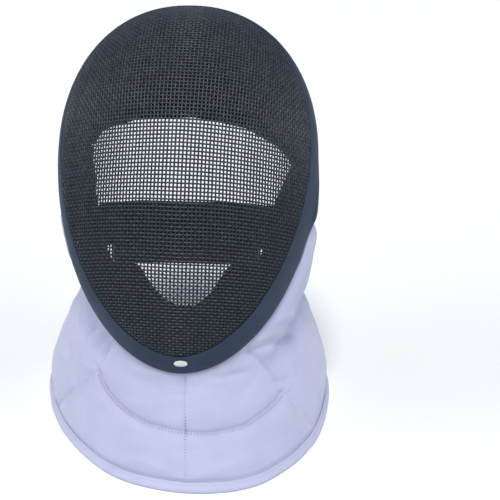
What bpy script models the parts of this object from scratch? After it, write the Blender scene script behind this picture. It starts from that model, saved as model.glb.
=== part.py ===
# Fencing mask standing on the hem of its bib, face toward -Y. Metres, +Z up.
import math

import bpy
import numpy as np
from mathutils import Vector

for old in list(bpy.data.objects):
    bpy.data.objects.remove(old, do_unlink=True)

# ---- sizes (metres, degrees) ----------------------------------------------
LEAN = math.radians(30.6)        # how far the rim plane leans back from upright
RIM_PLACE = (0.0011, -0.0446, 0.1905)  # zero point of the rim plane; Z is its height over the floor
GAP = 0.0003                     # air between neighbouring pieces

HALF_WIDTH = 0.1113              # rim oval, ear to ear
RISE = 0.1325                    # rim oval, widest place up to the top
DROP = 0.1811                    # rim oval, widest place down to the chin
WIDEST = 0.0799                  # widest place, up along the rim plane
ROUND_TOP, ROUND_CHIN = 2.18, 1.94
EAR_BACK, TOP_BACK = 0.0054, 0.0062    # saddle of the rim
BOWL_DEPTH = 0.1102
NOSE_DEPTH, NOSE_ROUND = 0.0975, 0.086
BOWL_CUT = 0.985                 # the bowl ends a little before its wall is parallel

WIRE_WALL = 0.0016               # woven wire, two wires deep
TRIM_SINK = 0.0042               # how deep the wire sits under the padded trim
# width of the trim over the face side, by angle round the rim (0 top, +90 right ear)
TRIM_ANGLE = (-180, -150, -120, -90, -60, 0, 60, 90, 110, 130, 150, 165, 180)
TRIM_WIDE = (0.0211, 0.0255, 0.0255, 0.0225, 0.0219, 0.0219, 0.0219, 0.0230,
             0.0262, 0.0291, 0.0295, 0.0263, 0.0211)

BIB_WALL = 0.0040
BIB_END = 115.0                  # the bib is sewn to the trim from the chin up to here
HEM_HIGH, HEM_WIDE = 0.0080, 0.0090
ROUND_STEPS = 50                 # facets round the rim

UP = Vector((0.0, math.sin(LEAN), math.cos(LEAN)))
OUT = Vector((0.0, -math.cos(LEAN), math.sin(LEAN)))
SIDE = Vector((1.0, 0.0, 0.0))
UPA, OUTA, SIDEA = (np.array(v) for v in (UP, OUT, SIDE))
PLACE = np.array(RIM_PLACE)


def smooth(t):
    t = min(max(t, 0.0), 1.0)
    return t * t * (3 - 2 * t)


# ---- the bowl surface -------------------------------------------------------
def rim_oval(turn):
    s, c = math.sin(turn), math.cos(turn)
    tall, power = (RISE, ROUND_TOP) if c > 0 else (DROP, ROUND_CHIN)
    r = 1.0 / ((abs(s) / HALF_WIDTH) ** power + (abs(c) / tall) ** power) ** (1.0 / power)
    return r * s, r * c


def face_point(turn, share):
    """Bowl surface: turn round the rim, share 0 at the nose to 1 at the rim."""
    u, v = rim_oval(turn)
    u, v = u * share, v * share
    tall = RISE if v > 0 else DROP
    wide2, tall2 = (u / HALF_WIDTH) ** 2, (v / tall) ** 2
    sideways = wide2 / max(wide2 + tall2, 1e-9)
    low = (1.0 - sideways) if math.cos(turn) < 0 else 0.0
    reach = share * BOWL_CUT
    sharp = 2.277 + (1.639 - 2.277) * sideways - 0.392 * low
    close = 0.452 + (0.574 - 0.452) * sideways + 0.39 * low
    if math.sin(turn) < 0:                 # the left wall stands a little fuller
        u *= 1.0 + sideways * (0.024 * math.exp(-((share - 0.92) / 0.07) ** 2) - 0.012)
    base = (1 - BOWL_CUT ** sharp) ** close
    depth = BOWL_DEPTH * ((1 - reach ** sharp) ** close - base)
    depth += (NOSE_DEPTH - BOWL_DEPTH * (1 - base)) * (1 - share ** 2)
    nose = 1.0 - smooth(share / 0.34)      # round where all the lines meet
    depth += (NOSE_DEPTH - NOSE_ROUND * share ** 2 - depth) * nose
    c = math.cos(turn)
    saddle = -EAR_BACK * math.sin(turn) ** 2 - TOP_BACK * (c * c if c > 0 else 0.0)
    w = depth + saddle * share ** 2
    return PLACE + u * SIDEA + (v + WIDEST) * UPA + w * OUTA


class Meridian:
    """One line from the rim to the nose, measured along the surface."""

    def __init__(self, turn):
        self.turn = turn
        self.shares = 1.0 - np.linspace(0.0, 1.0, 160) ** 2
        pts = np.array([face_point(turn, s) for s in self.shares])
        self.run = np.concatenate([[0.0], np.cumsum(np.linalg.norm(np.diff(pts, axis=0), axis=1))])
        self.length = self.run[-1]

    def share(self, way):
        return float(np.interp(way, self.run, self.shares))

    def frame(self, way):
        """Point, outward normal and rimward tangent at a way in from the rim."""
        over = min(way, 0.0)
        s = self.share(max(way, 0.0))
        p = face_point(self.turn, s)
        e = 0.004
        toward = face_point(self.turn, min(s + e, 1.0)) - face_point(self.turn, min(s + e, 1.0) - 2 * e)
        toward /= np.linalg.norm(toward)
        across = face_point(self.turn + 0.01, max(s, 0.03)) - face_point(self.turn - 0.01, max(s, 0.03))
        across /= np.linalg.norm(across)
        normal = np.cross(across, toward)
        normal /= np.linalg.norm(normal)
        return p - over * toward, normal, toward

    def at(self, way, lift):
        p, n, _ = self.frame(way)
        return p + lift * n


def turns(first, last, count):
    return [math.radians(first + (last - first) * k / (count - 1)) for k in range(count)]


def even_loop(count):
    """Angles that part the rim into equal lengths, from the chin round by the left."""
    fine = [math.radians(-180 + 0.5 * k) for k in range(721)]
    pts = np.array([rim_oval(a) for a in fine])
    run = np.concatenate([[0.0], np.cumsum(np.linalg.norm(np.diff(pts, axis=0), axis=1))])
    return [float(np.interp(run[-1] * k / count, run, fine)) for k in range(count)]


LOOP = even_loop(ROUND_STEPS)
SPOKES = {round(t, 6): Meridian(t) for t in LOOP}


def meridian(turn):
    key = round(turn, 6)
    if key not in SPOKES:
        SPOKES[key] = Meridian(turn)
    return SPOKES[key]


def trim_width(turn):
    return float(np.interp(math.degrees(turn), TRIM_ANGLE, TRIM_WIDE))


def wire_sink(turn, way):
    """Depth of the wire under the face surface: zero outside the trim."""
    wide = trim_width(turn)
    return -TRIM_SINK * smooth((wide + 0.003 - way) / 0.010)


# ---- making solids ------------------------------------------------------------
PARTS = bpy.data.collections.new("parts")
bpy.context.scene.collection.children.link(PARTS)


def material(name, colour, rough, metal=0.0):
    mat = bpy.data.materials.new(name)
    mat.use_nodes = True
    shader = mat.node_tree.nodes["Principled BSDF"]
    shader.inputs["Base Color"].default_value = (*colour, 1.0)
    shader.inputs["Roughness"].default_value = rough
    shader.inputs["Metallic"].default_value = metal
    mat.diffuse_color = (*colour, 1.0)
    return mat


WIRE = material("black_wire", (0.030, 0.034, 0.042), 0.45, 0.6)
TRIM = material("navy_trim", (0.042, 0.062, 0.098), 0.55)
BIB = material("white_cloth", (0.78, 0.79, 0.90), 0.85)
LINING = material("dark_lining", (0.040, 0.036, 0.036), 0.9)
CROWN = material("grey_lining", (0.13, 0.12, 0.115), 0.9)
STRAP = material("black_strap", (0.020, 0.022, 0.026), 0.8)
RIVET = material("ivory_rivet", (0.80, 0.79, 0.74), 0.4)


def solid(name, points, faces, mat):
    """Closed mesh; its faces are turned so that its volume is positive."""
    pts = np.array(points)
    volume = 0.0
    for f in faces:
        for k in range(1, len(f) - 1):
            volume += np.dot(pts[f[0]], np.cross(pts[f[k]], pts[f[k + 1]]))
    if volume < 0:
        faces = [tuple(reversed(f)) for f in faces]
    mesh = bpy.data.meshes.new(name)
    mesh.from_pydata([tuple(map(float, p)) for p in points], [], faces)
    mesh.validate()
    mesh.materials.append(mat)
    for poly in mesh.polygons:
        poly.use_smooth = True
    obj = bpy.data.objects.new(name, mesh)
    PARTS.objects.link(obj)
    return obj


def wall(name, outer, inner, mat, loop=False, pole=None):
    """Solid between two grids [row][column]; loop closes the columns' rows,
    pole = (outer point, inner point) closes the last column."""
    rows, cols = len(outer), len(outer[0])
    points = [p for row in outer for p in row] + [p for row in inner for p in row]
    base = rows * cols
    faces = []
    last = rows if loop else rows - 1
    for i in range(last):
        j2 = (i + 1) % rows
        for j in range(cols - 1):
            a, b, c, d = i * cols + j, j2 * cols + j, j2 * cols + j + 1, i * cols + j + 1
            faces.append((a, b, c, d))
            faces.append((base + d, base + c, base + b, base + a))
        a, b = i * cols, j2 * cols
        faces.append((b, a, base + a, base + b))
        c, d = i * cols + cols - 1, j2 * cols + cols - 1
        if pole is None:
            faces.append((c, d, base + d, base + c))
    if pole is not None:
        points += [pole[0], pole[1]]
        top, low = len(points) - 2, len(points) - 1
        for i in range(last):
            j2 = (i + 1) % rows
            c, d = i * cols + cols - 1, j2 * cols + cols - 1
            faces.append((c, d, top))
            faces.append((base + d, base + c, low))
    if not loop:
        for i in (0, rows - 1):
            for j in range(cols - 1):
                a, b = i * cols + j, i * cols + j + 1
                quad = (a, b, base + b, base + a)
                faces.append(quad if i == 0 else tuple(reversed(quad)))
    return solid(name, points, faces, mat)


def sweep(name, rings, mat, loop=False):
    """Solid through a row of closed sections with equal numbers of points."""
    n = len(rings[0])
    points = [p for ring in rings for p in ring]
    faces = []
    last = len(rings) if loop else len(rings) - 1
    for i in range(last):
        k = (i + 1) % len(rings)
        for j in range(n):
            m = (j + 1) % n
            faces.append((i * n + j, i * n + m, k * n + m, k * n + j))
    if not loop:
        faces.append(tuple(reversed(range(n))))
        end = (len(rings) - 1) * n
        faces.append(tuple(end + j for j in range(n)))
    return solid(name, points, faces, mat)


def bezier(p0, p1, p2, p3, t):
    a = 1 - t
    return a ** 3 * p0 + 3 * a * a * t * p1 + 3 * a * t * t * p2 + t ** 3 * p3


def curve_table(table, x):
    """Row of numbers at x from rows (x, numbers...)."""
    xs = [row[0] for row in table]
    return np.array([np.interp(x, xs, [row[k] for row in table]) for k in range(1, len(table[0]))])


def smooth_table(table, x, soft):
    """The same, with its corners rounded over +-soft."""
    steps = np.linspace(-1, 1, 9)
    weight = 1 - 0.8 * np.abs(steps)
    rows = np.array([curve_table(table, x + soft * s) for s in steps])
    return (rows * weight[:, None]).sum(0) / weight.sum()


# ---- 1 front mesh: the wire bowl ----------------------------------------------
def bowl_ways(spoke):
    wide = trim_width(spoke.turn)
    near = [0.0010, 0.0085, wide - 0.008, wide - 0.003, wide + 0.003]
    rest = spoke.length - near[-1]
    return near + [near[-1] + rest * f for f in (0.12, 0.26, 0.42, 0.60, 0.80)]


outer, inner = [], []
for turn in LOOP:
    spoke = meridian(turn)
    ways = bowl_ways(spoke)
    outer.append([spoke.at(w, wire_sink(turn, w)) for w in ways])
    inner.append([spoke.at(w, wire_sink(turn, w) - WIRE_WALL) for w in ways])
nose = face_point(0.0, 0.0)
wall("front_mesh", outer, inner, WIRE, loop=True, pole=(nose, nose - WIRE_WALL * OUTA))


# ---- 2 face trim: padded band folded round the rim of the bowl ------------------
# how much thicker its outer side is by the right ear, over the tip of the bib
EAR_SWELL = ((88, 0.0), (95, 0.0010), (100, 0.0020), (106, 0.0030), (111, 0.0040), (114, 0.0040),
             (118, 0.0018), (122, 0.0))


def trim_section(turn):
    """Closed section as (way in from the rim, lift over the face surface)."""
    wide = trim_width(turn)
    ear = curve_table(EAR_SWELL, math.degrees(turn))[0]
    sunk = lambda way: wire_sink(turn, way) + GAP
    slot = -TRIM_SINK
    face = [(wide, sunk(wide)), (wide - 0.003, sunk(wide - 0.003)), (wide - 0.008, sunk(wide - 0.008)),
            (0.0085, slot + GAP), (0.0006, slot + GAP)]
    under = slot - WIRE_WALL
    lip = [(0.0006, under - GAP), (0.0085, under - GAP), (0.0080, under - 0.0022)]
    fold = [(-0.0012, -0.0080), (-0.0028, -0.0055), (-0.0030, -0.0028 + ear * 0.8), (-0.0018, -0.0006 + ear)]
    front = [(0.0020, 0.0001 + ear * 0.7), (wide * 0.40, 0.0006 + ear * 0.1), (wide * 0.72, 0.0007),
             (wide - 0.0016, 0.0003)]
    return face + lip + fold + front


sweep("face_trim", [[meridian(t).at(w, h) for w, h in trim_section(t)] for t in LOOP], TRIM, loop=True)

# ---- 3 back mesh: crown and ear wings behind the rim ----------------------------
WING_END = 126.0
# free edge by angle, left to right: angle, across, depth behind the zero of the rim plane, height over it
FREE_EDGE = ((-126, -0.0930, 0.036, -0.0100), (-121, -0.0955, 0.057, -0.0120), (-115, -0.0970, 0.072, 0.0040),
             (-105, -0.0985, 0.088, 0.0260), (-95, -0.0990, 0.099, 0.0440), (-80, -0.0965, 0.115, 0.0550),
             (-60, -0.0885, 0.137, 0.0625), (-30, -0.0535, 0.158, 0.0675), (0, -0.0010, 0.165, 0.0680),
             (30, 0.0510, 0.158, 0.0600), (60, 0.0850, 0.137, 0.0470), (80, 0.0970, 0.114, 0.0410),
             (95, 0.1000, 0.099, 0.0340), (105, 0.0995, 0.088, 0.0210), (115, 0.0970, 0.072, 0.0020),
             (121, 0.0955, 0.057, -0.0120), (126, 0.0930, 0.036, -0.0100))


def free_edge(turn):
    return PLACE + smooth_table(FREE_EDGE, math.degrees(turn), 4.0)


def crown_point(turn, t, sink):
    """Back shell: t 0 behind the trim to 1 at the free edge, sink inward."""
    def raw(a, s):
        spoke = meridian(a)
        start, normal, _ = spoke.frame(-0.0034)
        under = smooth((abs(math.degrees(a)) - 94) / 10)   # the wing passes under the tip of the bib
        start = start - (0.0020 + 0.0034 * under) * normal
        end = free_edge(a)
        top = max(math.cos(a), 0.0)
        back = -OUTA + 0.19 * top * UPA
        span = np.linalg.norm(end - start)
        p1 = start + back * span * 0.36
        p2 = end + np.array((0.0, 0.004, 0.016)) * (span / 0.12) * (0.35 + 2.4 * top)
        return bezier(start, p1, p2, end, s)
    p = raw(turn, t)
    if sink == 0.0:
        return p
    along = raw(turn, min(t + 0.03, 1.0)) - raw(turn, max(t - 0.03, 0.0))
    lim = math.radians(WING_END)
    across = raw(min(turn + 0.03, lim), t) - raw(max(turn - 0.03, -lim), t)
    normal = np.cross(across, along)
    normal /= np.linalg.norm(normal)
    middle = PLACE + np.array((0.0, 0.06, 0.06))
    if np.dot(normal, p - middle) < 0:
        normal = -normal
    return p - sink * normal


WING_TURNS = turns(-WING_END, WING_END, 35)
CROWN_STEPS = [0.0, 0.12, 0.26, 0.42, 0.58, 0.74, 0.88, 1.0]
wall("back_mesh",
     [[crown_point(a, t, 0.0) for t in CROWN_STEPS] for a in WING_TURNS],
     [[crown_point(a, t, WIRE_WALL) for t in CROWN_STEPS] for a in WING_TURNS], WIRE)


# ---- 4 rear binding: rolled tape on the free edge --------------------------------
def ring(centre, away, along, wide, high, steps):
    """Oval section across a path."""
    along = along / np.linalg.norm(along)
    away = away - along * np.dot(away, along)
    away /= np.linalg.norm(away)
    other = np.cross(along, away)
    return [centre + away * math.cos(a) * wide / 2 + other * math.sin(a) * high / 2
            for a in (2 * math.pi * k / steps for k in range(steps))]


def edge_rings(angles, wide, high, steps):
    rings = []
    for a in angles:
        mid = (crown_point(a, 1.0, 0.0) + crown_point(a, 1.0, WIRE_WALL)) / 2
        away = mid - (crown_point(a, 0.94, 0.0) + crown_point(a, 0.94, WIRE_WALL)) / 2
        away /= np.linalg.norm(away)
        lim = math.radians(WING_END)
        along = free_edge(min(a + 0.02, lim)) - free_edge(max(a - 0.02, -lim))
        rings.append(ring(mid + away * (wide / 2 + 0.0010), away, along, wide, high, steps))
    return rings


sweep("rear_binding", edge_rings(turns(-113, 114, 33), 0.0050, 0.0046, 6), TRIM)

# ---- linings inside the crown ----------------------------------------------------
def crown_run(turn):
    """Share of the crown's line that one metre takes at this angle."""
    pts = np.array([crown_point(turn, k / 10, 0.0) for k in range(11)])
    return 1.0 / np.sum(np.linalg.norm(np.diff(pts, axis=0), axis=1))


def edge_run(turn):
    """The same close to the free edge."""
    return 0.06 / np.linalg.norm(crown_point(turn, 1.0, 0.0) - crown_point(turn, 0.94, 0.0))


PAD_SINK = WIRE_WALL + 0.0013
CROWN_PAD = 0.0070
EDGE_WIDE, EDGE_HIGH = 0.0100, 0.0062
EDGE_OVER = 0.0023               # the edge roll reaches this far past the free edge
CROWN_REACH = 84.0


def pad_wall(name, angles, first, last, thick, mat, steps=6, ends=(0.35, 0.35), over=(0.0, 0.0, 0.0)):
    """Padded lining on the inside of the back shell; first and last are metres in
    from the trim and from the free edge, thick and ends go from end to end. Over:
    how much later it starts, sooner it ends and deeper it lies over the strap."""
    outer, inner = [], []
    for k, a in enumerate(angles):
        low = smooth((abs(math.degrees(a)) - 104.5) / 4.0)
        lo = (first + over[0] * low) * crown_run(a)
        hi = 1.0 - last * edge_run(a) - over[1] * low * crown_run(a)
        sink = PAD_SINK + over[2] * low
        f = k / (len(angles) - 1)
        deep = thick[0] + (thick[1] - thick[0]) * f
        low = ends[0] if f < 0.5 else ends[1]
        deep *= low + (1 - low) * smooth(min(f, 1 - f) / 0.16)
        ro, ri = [], []
        for j in range(steps + 1):
            f = j / steps
            swell = 0.45 + 0.55 * math.sin(math.pi * f) ** 0.35 if 0 < f < 1 else 0.45
            t = lo + (hi - lo) * f
            ro.append(crown_point(a, t, sink))
            ri.append(crown_point(a, t, sink + deep * swell))
        outer.append(ro)
        inner.append(ri)
    return wall(name, outer, inner, mat)


pad_wall("crown_pad", turns(-CROWN_REACH, CROWN_REACH, 25), 0.004, EDGE_WIDE - EDGE_OVER + 0.0020,
         (CROWN_PAD, CROWN_PAD), CROWN)

edge = []
for a in turns(-CROWN_REACH + 2, CROWN_REACH - 2, 24):
    mid = 1.0 - (EDGE_WIDE / 2 - EDGE_OVER) * edge_run(a)
    deep = PAD_SINK + EDGE_HIGH / 2
    along = crown_point(min(a + 0.03, 1.6), mid, deep) - crown_point(max(a - 0.03, -1.6), mid, deep)
    edge.append(ring(crown_point(a, mid, deep),
                     crown_point(a, mid + 0.02, deep) - crown_point(a, mid - 0.02, deep),
                     along, EDGE_WIDE, EDGE_HIGH, 8))
sweep("crown_edge", edge, LINING)

EAR_PAD = {1: (0.0062, 0.0235), -1: (0.0075, 0.0180)}    # thicker toward the jaw
EAR_REACH = 115.0
EAR_OVER = (0.016, 0.026, 0.0029)    # its lower end lies over the strap's end
for side, name in ((1, "ear_pad_right"), (-1, "ear_pad_left")):
    arc = turns(CROWN_REACH + 1.2, EAR_REACH, 12)
    pad_wall(name, [side * a for a in arc], 0.005, 0.0010, EAR_PAD[side], LINING, steps=5, ends=(0.60, 0.80),
             over=EAR_OVER)

# ---- chin pad: flat cushion ring inside the lower rim ------------------------------
# inner edge by angle: across and up the rim plane
THROAT = ((115, 0.080, 0.028), (120, 0.073, 0.018), (125, 0.067, 0.005), (130, 0.060, -0.010),
          (138, 0.050, -0.008), (147, 0.039, -0.008), (155, 0.032, -0.019), (163, 0.024, -0.032),
          (172, 0.014, -0.043), (180, 0.003, -0.045),
          (184, -0.007, -0.044), (191, -0.017, -0.038), (199, -0.029, -0.026), (207, -0.039, -0.010),
          (215, -0.047, -0.010), (225, -0.060, -0.012), (233, -0.067, 0.003),
          (240, -0.073, 0.018), (245, -0.080, 0.028))
CHIN_PAD = 0.0080
# thickness of the cushion from its sewn edge to its free one, as shares of CHIN_PAD
CHIN_SWELL = ((0.0, 0.55), (0.10, 0.85), (0.35, 1.0), (0.65, 1.0), (0.90, 0.85), (1.0, 0.45))


def chin_rows(deg):
    turn = math.radians(deg if deg <= 180 else deg - 360)
    low = smooth((-math.cos(turn) - 0.6) / 0.4)
    p, normal, _ = meridian(turn).frame(0.0005 + 0.0025 * low)
    start = p - (0.0088 + 0.0032 * low) * normal - 0.0030 * OUTA
    u, v = smooth_table(THROAT, deg, 3.0)
    end = PLACE + u * SIDEA + v * UPA - 0.0150 * OUTA
    front, back = [], []
    for f, thick in CHIN_SWELL:
        p = start + (end - start) * f
        front.append(p + OUTA * CHIN_PAD * thick / 2)
        back.append(p - OUTA * CHIN_PAD * thick / 2)
    return front, back


chin_grid = [chin_rows(116 + 128 * k / 26) for k in range(27)]
wall("chin_pad", [r[0] for r in chin_grid], [r[1] for r in chin_grid], LINING)


# ---- rear strap and nape pad ----------------------------------------------------------
# across, behind the zero of the rim plane, height of the top edge
STRAP_PATH = ((-0.0850, 0.088, 0.002), (-0.0790, 0.106, -0.003), (-0.0690, 0.124, -0.010),
              (-0.0500, 0.142, -0.016), (-0.0260, 0.151, -0.020), (0.0, 0.1535, -0.021),
              (0.0260, 0.151, -0.020), (0.0500, 0.142, -0.016), (0.0690, 0.124, -0.010),
              (0.0795, 0.106, -0.003), (0.0860, 0.088, 0.002))
STRAP_HIGH, STRAP_THICK = 0.0450, 0.0024
# share of the wing, upper and lower edge angle, and how far the strap stands off the wing there
ANCHORS = ((0.50, 109.0, 122.5, 0.0), (0.72, 108.5, 121.5, 0.0013))


def band(name, pairs, thick, mat, plump):
    """Band through (upper, lower, outward) edge points."""
    rings = []
    for top, low, out in pairs:
        down = low - top
        high = np.linalg.norm(down)
        down = down / high
        half = thick / 2
        section = [(half - plump, 0.0), (half, 0.12), (half, 0.88), (half - plump, 1.0),
                   (-half + plump, 1.0), (-half, 0.88), (-half, 0.12), (-half + plump, 0.0)]
        rings.append([top + out * a + down * high * h for a, h in section])
    return sweep(name, rings, mat)


def hanging(path, high, inset, drop):
    """Upright band along a path: inset toward the head, drop under the top edge."""
    path = [PLACE + np.array(p) for p in path]
    pairs = []
    for k, p in enumerate(path):
        along = path[min(k + 1, len(path) - 1)] - path[max(k - 1, 0)]
        along[2] = 0.0
        along /= np.linalg.norm(along)
        out = np.cross(np.array((0, 0, 1.0)), along)
        top = p - out * inset - np.array((0, 0, drop))
        pairs.append((top, top - np.array((0, 0, high)), out))
    return pairs


def anchored(side):
    """Strap ends flat on the inside of the wings."""
    pairs = []
    for share, upper, lower, off in ANCHORS:
        sink = WIRE_WALL + GAP + STRAP_THICK / 2 + 0.0003 + off
        top = crown_point(math.radians(side * upper), share, sink)
        low = crown_point(math.radians(side * lower), share, sink)
        middle = math.radians(side * 114)
        across = crown_point(middle, share + 0.1, sink) - crown_point(middle, share - 0.1, sink)
        out = np.cross(across, low - top)
        out /= np.linalg.norm(out)
        pairs.append((top, low, out if out[0] * side > 0 else -out))
    return pairs


band("rear_strap", anchored(-1) + hanging(STRAP_PATH, STRAP_HIGH, 0.0, 0.0) + anchored(1)[::-1],
     STRAP_THICK, STRAP, 0.0006)
NAPE_PATH = ((-0.0770, 0.1105, -0.0050), (-0.0690, 0.124, -0.010), (-0.0500, 0.142, -0.016),
             (-0.0260, 0.151, -0.020), (0.0, 0.1535, -0.021), (0.0260, 0.151, -0.020),
             (0.0500, 0.142, -0.016), (0.0660, 0.1265, -0.0110))
band("nape_pad", hanging(NAPE_PATH, 0.0250, STRAP_THICK / 2 + 0.0033, 0.0400), 0.0060, CROWN, 0.0018)

# ---- 5 bib: quilted skirt from the trim to the floor -----------------------------
# hem on the floor by share round the bib (0 left back end, 0.5 front): x and y from the rim plane's zero
HEM = ((0.000, -0.1300, 0.1340), (0.055, -0.1350, 0.1050), (0.110, -0.1340, 0.0780), (0.190, -0.1240, 0.0370),
       (0.260, -0.1105, 0.0060), (0.330, -0.0910, -0.0235), (0.400, -0.0645, -0.0520),
       (0.450, -0.0385, -0.0675), (0.500, 0.0020, -0.0768), (0.550, 0.0405, -0.0735),
       (0.600, 0.0686, -0.0618), (0.670, 0.0982, -0.0308), (0.740, 0.1170, 0.0030), (0.810, 0.1265, 0.0360),
       (0.890, 0.1320, 0.0740), (0.945, 0.1325, 0.1020), (1.000, 0.1280, 0.1320))
# how far the bib stands outward of the straight line from trim to hem, by share of its drop
FLARE_LEFT = ((0.0, 0.0), (0.05, -0.0072), (0.10, -0.0132), (0.20, -0.0206), (0.27, -0.0234), (0.32, -0.0244),
              (0.385, -0.0224), (0.44, -0.0182), (0.52, -0.0137), (0.61, -0.0072), (0.73, -0.0024),
              (0.86, 0.0006), (1.0, 0.0))
FLARE_RIGHT = ((0.0, 0.0), (0.06, 0.0015), (0.14, -0.0010), (0.21, -0.0037), (0.27, -0.0098), (0.33, -0.0144),
               (0.40, -0.0164), (0.46, -0.0148), (0.53, -0.0111), (0.61, -0.0066), (0.70, -0.0026),
               (0.85, 0.0006), (1.0, 0.0))
TIP_CALM = 0.45                  # share of it that the left tip leaves out
# the free back edges curl in a little more: share of the drop, left and right
END_CURL = ((0.0, 0.0, 0.0), (0.20, 0.0, 0.0), (0.40, -0.0034, 0.0), (0.50, -0.0048, 0.0),
            (0.60, -0.0048, -0.0012), (0.68, -0.0038, -0.0020), (0.76, -0.0026, -0.0018),
            (0.86, -0.0014, 0.0), (1.0, 0.0, 0.0))
FLARE_FRONT = ((0.0, 0.0), (0.08, -0.0030), (0.20, -0.0055), (0.35, -0.0050), (0.55, -0.0020), (0.75, 0.0004),
               (0.90, 0.0012), (1.0, 0.0))


def hem_point(share):
    x, y = smooth_table(HEM, share, 0.03)
    return np.array((PLACE[0] + x, PLACE[1] + y, HEM_HIGH + 0.0007))


def bib_turn(share):
    """Angle round the rim where this share of the bib is sewn on."""
    deg = BIB_END + (1 - share) * (360 - 2 * BIB_END)
    return math.radians(deg if deg <= 180 else deg - 360)


def bib_rest(share, t):
    """Middle surface of the bib without quilting: t 0 at the trim, 1 at the hem."""
    turn = bib_turn(share)
    start, normal, _ = meridian(turn).frame(-0.0048)
    tuck = smooth((abs(share - 0.5) - 0.33) / 0.065)
    start = start - (0.0052 - 0.0034 * tuck) * normal
    end = hem_point(share)
    outward = np.array(((start[0] + end[0]) / 2 - PLACE[0], (start[1] + end[1]) / 2 - PLACE[1] - 0.050, 0.0))
    outward /= np.linalg.norm(outward)
    flat = (end - start) * np.array((1.0, 1.0, 0.0))
    side = smooth((abs(share - 0.5) - 0.08) / 0.26)
    wing = FLARE_LEFT if share < 0.5 else FLARE_RIGHT
    tip = (1 - smooth(share / 0.10)) * (1 - smooth((t - 0.13) / 0.13))
    stand = (1 - side) * smooth_table(FLARE_FRONT, t, 0.05)[0] + side * smooth_table(wing, t, 0.04)[0]
    for end_t, weight in ((0.0, 1 - t), (1.0, t)):     # the rounded tables start and end at zero
        stand -= smooth_table(FLARE_FRONT, end_t, 0.05)[0] * (1 - side) * weight
        stand -= smooth_table(wing, end_t, 0.04)[0] * side * weight
    stand *= 1 - TIP_CALM * tip            # the left tip lies over the wing and can't sink so far
    curl = curve_table(END_CURL, t)
    stand += curl[0] * (1 - smooth(share / 0.22)) + curl[1] * (1 - smooth((1 - share) / 0.22))
    return start + flat * t + outward * stand + np.array((0.0, 0.0, (end[2] - start[2]) * t))


def bib_frame(share, t):
    e = 0.01
    a = bib_rest(min(share + e, 1.0), t) - bib_rest(max(share - e, 0.0), t)
    d = bib_rest(share, min(t + e, 1.0)) - bib_rest(share, max(t - e, 0.0))
    n = np.cross(a, d)
    n /= np.linalg.norm(n)
    out = bib_rest(share, t) - (PLACE + np.array((0.0, 0.050, -0.1)))
    out[2] = 0.0
    return n if np.dot(n, out) > 0 else -n


# sewn lines as (share round the bib, share of its drop)
SEAMS = {
    "left": ((0.334, 0.03), (0.320, 0.125), (0.298, 0.335), (0.296, 0.465), (0.268, 0.665), (0.226, 0.90),
             (0.215, 0.98)),
    "centre": ((0.511, 0.03), (0.511, 0.10), (0.509, 0.245), (0.508, 0.417), (0.508, 0.555), (0.507, 0.708),
               (0.507, 0.863), (0.506, 1.0)),
    "right": ((0.650, 0.03), (0.658, 0.103), (0.682, 0.278), (0.701, 0.432), (0.712, 0.585), (0.725, 0.77),
              (0.749, 0.98)),
    "arc": ((0.296, 0.465), (0.321, 0.478), (0.361, 0.495), (0.410, 0.515), (0.445, 0.532), (0.472, 0.545),
            (0.508, 0.560), (0.538, 0.572), (0.567, 0.580), (0.608, 0.588), (0.670, 0.588), (0.712, 0.585)),
}
# depth of each, then how far the cloth takes to swell up again on its outer or upper side and on the other
SEWN = {"left": (0.0052, 0.0220, 0.0120), "centre": (0.0014, 0.0060, 0.0060),
        "right": (0.0046, 0.0220, 0.0120), "arc": (0.0070, 0.0260, 0.0110)}
# folds of the soft cloth: (rise, half width), then their line as shares; a negative rise is a hollow
FOLDS = (
    ((-0.0036, 0.0060), (0.660, 0.103), (0.711, 0.177), (0.796, 0.378), (0.854, 0.460)),
    ((-0.0036, 0.0060), (0.327, 0.037), (0.277, 0.280), (0.254, 0.408)),
    ((-0.0024, 0.0060), (0.300, 0.250), (0.287, 0.380)),
    ((-0.0016, 0.0060), (0.129, 0.735), (0.204, 0.628), (0.259, 0.562)),
    ((0.0016, 0.0060), (0.281, 0.147), (0.227, 0.367), (0.227, 0.422)),
    ((0.0014, 0.0060), (0.724, 0.030), (0.764, 0.107), (0.880, 0.362)),
)
PUFF = 0.0022
DROP_LONG = 0.150                # way from the trim to the hem along the cloth
HELD = 0.016                     # the trim and the hem tape hold the cloth flat over this width
SWELL_CLOSE = 0.62               # how suddenly the cloth turns down into a seam


def fine_line(line):
    """Shares along a seam or fold, eight to each of its lengths."""
    at = np.arange(len(line))
    fine = np.linspace(0, len(line) - 1, 8 * (len(line) - 1) + 1)
    return np.stack([np.interp(fine, at, [pair[k] for pair in line]) for k in (0, 1)], axis=1)


SEAM_SHARES = {name: fine_line(line) for name, line in SEAMS.items()}
SEAM_POINTS = {name: np.array([bib_rest(*pair) for pair in pairs]) for name, pairs in SEAM_SHARES.items()}
FOLD_POINTS = [np.array([bib_rest(*pair) for pair in fine_line(fold[1:])]) for fold in FOLDS]


def seam_share(name, t):
    return float(np.interp(t, SEAM_SHARES[name][:, 1], SEAM_SHARES[name][:, 0]))


def arc_drop(share):
    return float(np.interp(share, SEAM_SHARES["arc"][:, 0], SEAM_SHARES["arc"][:, 1]))


def on_outer_side(name, share, t):
    """Above the arc, and on the side panels' side of the seams that run down."""
    if name == "arc":
        return t < arc_drop(share)
    return share < seam_share(name, t) if name == "left" else share > seam_share(name, t)


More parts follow.
